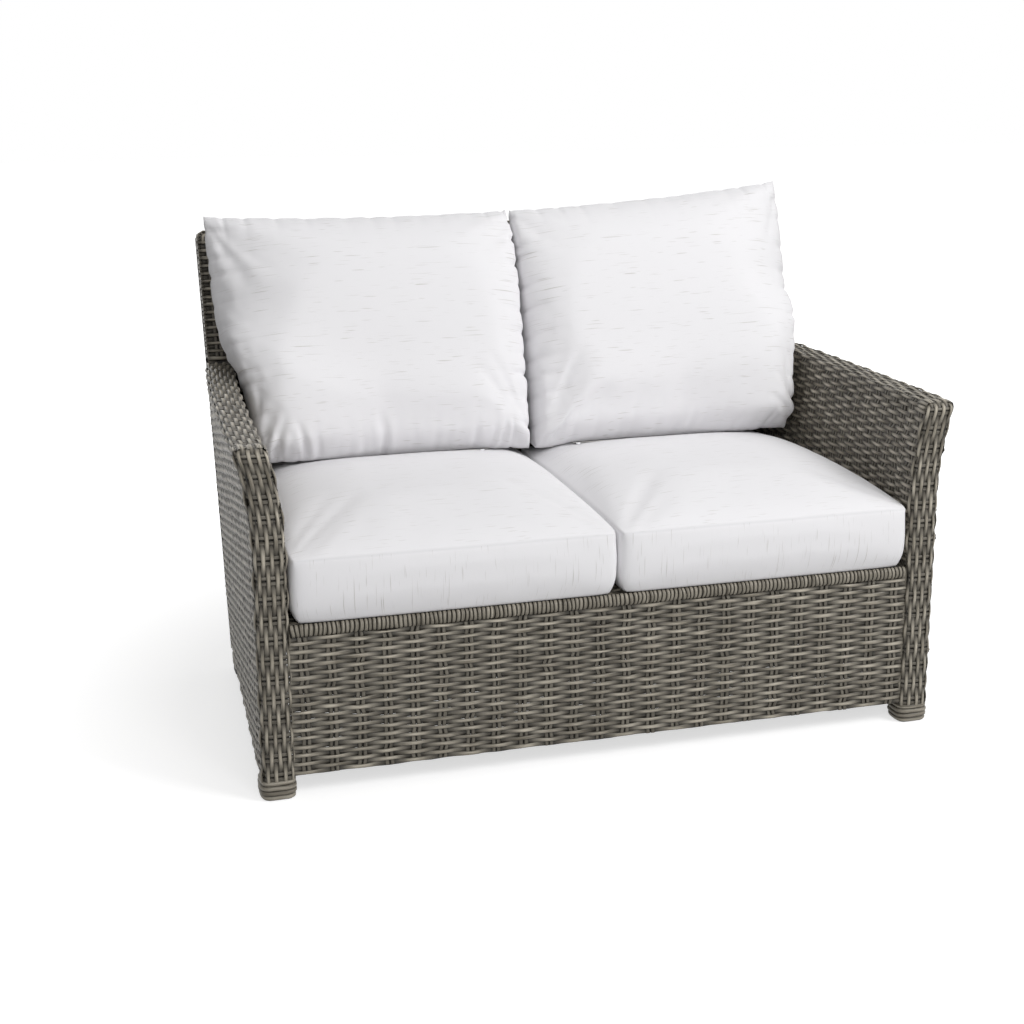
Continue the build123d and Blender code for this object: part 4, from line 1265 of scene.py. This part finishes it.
def crease_depth(a, b, creases):
    """How deep the creases are at a place; each is from (a, b) to (a, b), with a width and depth."""
    total = 0.0
    for (a0, b0), (a1, b1), width, depth in creases:
        run_x, run_y = (a1 - a0) * pillow_wide, (b1 - b0) * pillow_high
        to_x, to_y = (a - a0) * pillow_wide, (b - b0) * pillow_high
        share = min(1.0, max(0.0, (to_x * run_x + to_y * run_y) / (run_x**2 + run_y**2)))
        gap = sqrt((to_x - share * run_x) ** 2 + (to_y - share * run_y) ** 2)
        fade = sin(pi * (0.5 + share / 2))
        ridge = 0.45 * bell((gap - 1.6 * width) / width)
        total += depth * fade * (bell(gap / width) - ridge)
    return total


def pucker(run, seed):
    """How strongly the cloth is drawn in at a run along a seam, from 0 up."""
    deepest = 0.0
    for count in range(int(run // 45) - 1, int(run // 45) + 3):
        middle = 45 * count + 26 * noise.noise(Vector((count * 3.1, seed, 0.3)))
        strength = 0.7 + 0.8 * noise.noise(Vector((count * 5.7, seed, 9.3)))
        deepest = max(deepest, strength * bell((run - middle) / 5.0))
    return deepest


def gather_depth(a, b, c, seed):
    """How deep the seam draws the cloth in: a short fold runs in from each pucker."""
    side_gap, end_gap = min(a, 1 - a) * pillow_wide, min(b, 1 - b) * pillow_high
    side = pucker(b * pillow_high, seed + 3.1 * (a > 0.5))
    end = pucker(a * pillow_wide, seed + 7.3 + 3.1 * (b > 0.5))
    loose = noise.noise(Vector((a * 30.0, b * 26.0, seed + c)))
    depth = 9.0 * side * exp(-side_gap / 26) + 6.0 * end * exp(-end_gap / 20)
    depth += 2.0 * loose * exp(-min(side_gap, end_gap) / 40)
    return depth * (0.45 + 0.55 * ease(min(side_gap, end_gap), 0, 6))


# %% [markdown]
# Then the back cushion is rested: it stays clear of the arm, the back and the other cushion, and a ray down
# from each low point finds the seat cushion under it. Along its bottom it follows the line of its zip.


# %% Rest a back cushion
def settle_pillow(mesh, inner_x, side, zip_x, seat):
    under = BVHTree.FromPolygons(
        [vertex.co.copy() for vertex in seat.data.vertices],
        [tuple(face.vertices) for face in seat.data.polygons],
    )
    for vertex in mesh.vertices:
        x, y, z = (value / MM for value in vertex.co)
        if z < arm_height + 10:
            x = min(x, arm_x(y, min(z, arm_top)) - post_size - 2.0)
        if z < 880.0:
            y = min(y, back_y(z, panel) - 3.0)
        x = max(x, inner_x - 0.5)
        if z < 540.0:
            hit = under.ray_cast((side * x * MM, y * MM, 0.7), (0, 0, -1))[0]
            if hit:
                z = max(z, hit.z / MM + 0.8)
        aft, down = y - pillow_zip_y, pillow_zip_z - z
        along = aft * cos(pillow_lean) + down * sin(pillow_lean)
        below = down * cos(pillow_lean) - aft * sin(pillow_lean)
        if vertex.normal.z < 0 and abs(below) < 14.0:
            share = bell(along / 13.0) * (1 - ease(abs(x - zip_x), 165.0, 190.0))
            y += share * below * sin(pillow_lean)
            z += share * below * cos(pillow_lean)
        vertex.co = Vector((x, y, z)) * MM


# %% [markdown]
# The columns of a back cushion stand closer near both sides, where the cloth turns round the edge. The
# creases are at their places in the photograph.


# %% Sew the back cushions
def back_cushion(name, inner_x, rise, side, creases, seat, zip_x):
    cover = unit_bag(name, 100, 84)
    mesh = cover.data
    for vertex in mesh.vertices:
        vertex.co.x -= 0.11 * sin(tau * vertex.co.x)
    places = [vertex.co.copy() for vertex in mesh.vertices]
    held, seam_distance = [], []
    for index, (a, b, c) in enumerate(places):
        mesh.vertices[index].co = pillow_point(a, b, c, inner_x, rise) * MM
        gap = min(min(a, 1 - a) * pillow_wide, min(b, 1 - b) * pillow_high)
        seam_distance.append(gap * MM)
        if c == 0.0:
            held.append(index)
    inflate(cover, held, 0.0, 4.0, 0.5, 18 * MM, 22)
    draw_in(mesh, [crease_depth(a, b, creases) if c > 0 else 0.0 for a, b, c in places])
    draw_in(mesh, [gather_depth(a, b, c, inner_x) for a, b, c in places])
    settle_pillow(mesh, inner_x, side, zip_x, seat)

    def thread_uv(face):
        shift = 7.0 if face.normal.y > 0 else 0.0
        corners = [places[index] for index in face.vertices]
        return [(a * pillow_wide * MM, b * pillow_high * MM + shift) for a, b, _ in corners]

    return finish_cover(cover, side, seam_distance, thread_uv)


left_creases = (
    ((0.84, -0.02), (0.85, 0.13), 7.0, 9.0),
    ((0.55, -0.02), (0.565, 0.15), 7.0, 9.0),
    ((0.95, 0.02), (0.88, 0.16), 7.0, 6.0),
    ((0.12, -0.02), (0.10, 0.09), 7.0, 5.0),
)
right_creases = (
    ((0.99, 0.03), (0.86, 0.12), 7.0, 7.0),
    ((0.99, 0.10), (0.88, 0.22), 7.0, 6.0),
    ((0.60, -0.02), (0.60, 0.08), 7.0, 4.0),
    ((0.05, 0.02), (0.14, 0.12), 7.0, 6.0),
)
for side_name, inner_x, rise, side, creases, zip_x in (
    ("right", 7.0, 45.0, 1, right_creases, 257.5),
    ("left", -5.0, 4.0, -1, left_creases, 251.5),
):
    pillow = back_cushion(
        f"back_cushion_{side_name}_cloth", inner_x, rise, side, creases, seats[side_name], zip_x
    )
    dress_cushion(pillow, "back", "fill", side_name)

# %% [markdown]
# ## Finishes of the measured solids
# The tubes, glides, screws and zips have the right shape already, so they keep their solids and only get
# their finish. Patterns read object coordinates, in metres. The foam and the fill are inside the covers.


# %% Plain finishes
def solid_finish(name, light, dark, scale, roughness, metallic, relief):
    """A finish with two tones and a fine relief, both from noise of a real size."""
    material = new_material(name)
    place = add_node(material, "ShaderNodeTexCoord").outputs["Object"]
    tone = noise_node(material, place, scale, 4.0, 0.6)
    colour = ramp_node(material, tone, (0.35, dark), (0.65, light))
    return add_surface(material, colour, tone, 0.3, relief, Roughness=roughness, Metallic=metallic)


finishes = {
    # Powder coat on aluminium has an orange-peel surface with bumps about 1 mm apart
    "frame_tube": solid_finish("powder coat on aluminium", "#3a3632", "#2b2825", 1000, 0.5, 0, 0.1 * MM),
    "resin_wicker": solid_finish("extruded resin stake", "#6f6a60", "#4c483f", 160, 0.45, 0, 0.3 * MM),
    # Moulded polyethylene has a fine spark-eroded grain
    "glide": solid_finish("moulded polyethylene", "#262524", "#1b1a1a", 1400, 0.55, 0, 0.05 * MM),
    "screw": solid_finish("zinc-plated steel", "#c9ccd0", "#a7abb0", 700, 0.32, 1, 0.02 * MM),
    "cushion_fabric": solid_finish("acrylic backing cloth", "#e6e5e6", "#d6d4d2", 900, 0.9, 0, 0.2 * MM),
    "cushion_fill": solid_finish("polyester wadding", "#f0efec", "#e2e0da", 260, 0.95, 0, 0.8 * MM),
    "zip_tape": solid_finish("moulded nylon coil", "#e4e3df", "#c4c2bc", 800, 0.45, 0, 0.25 * MM),
    "zip_metal": solid_finish("nickel-plated zinc", "#d6d6d8", "#b4b5b8", 600, 0.3, 1, 0.02 * MM),
}
for part in frame["record"]["subparts"]:
    node = frame["nodes"][part["node"]]
    node.data.materials.clear()
    node.data.materials.append(finishes[part["material_slot"]])
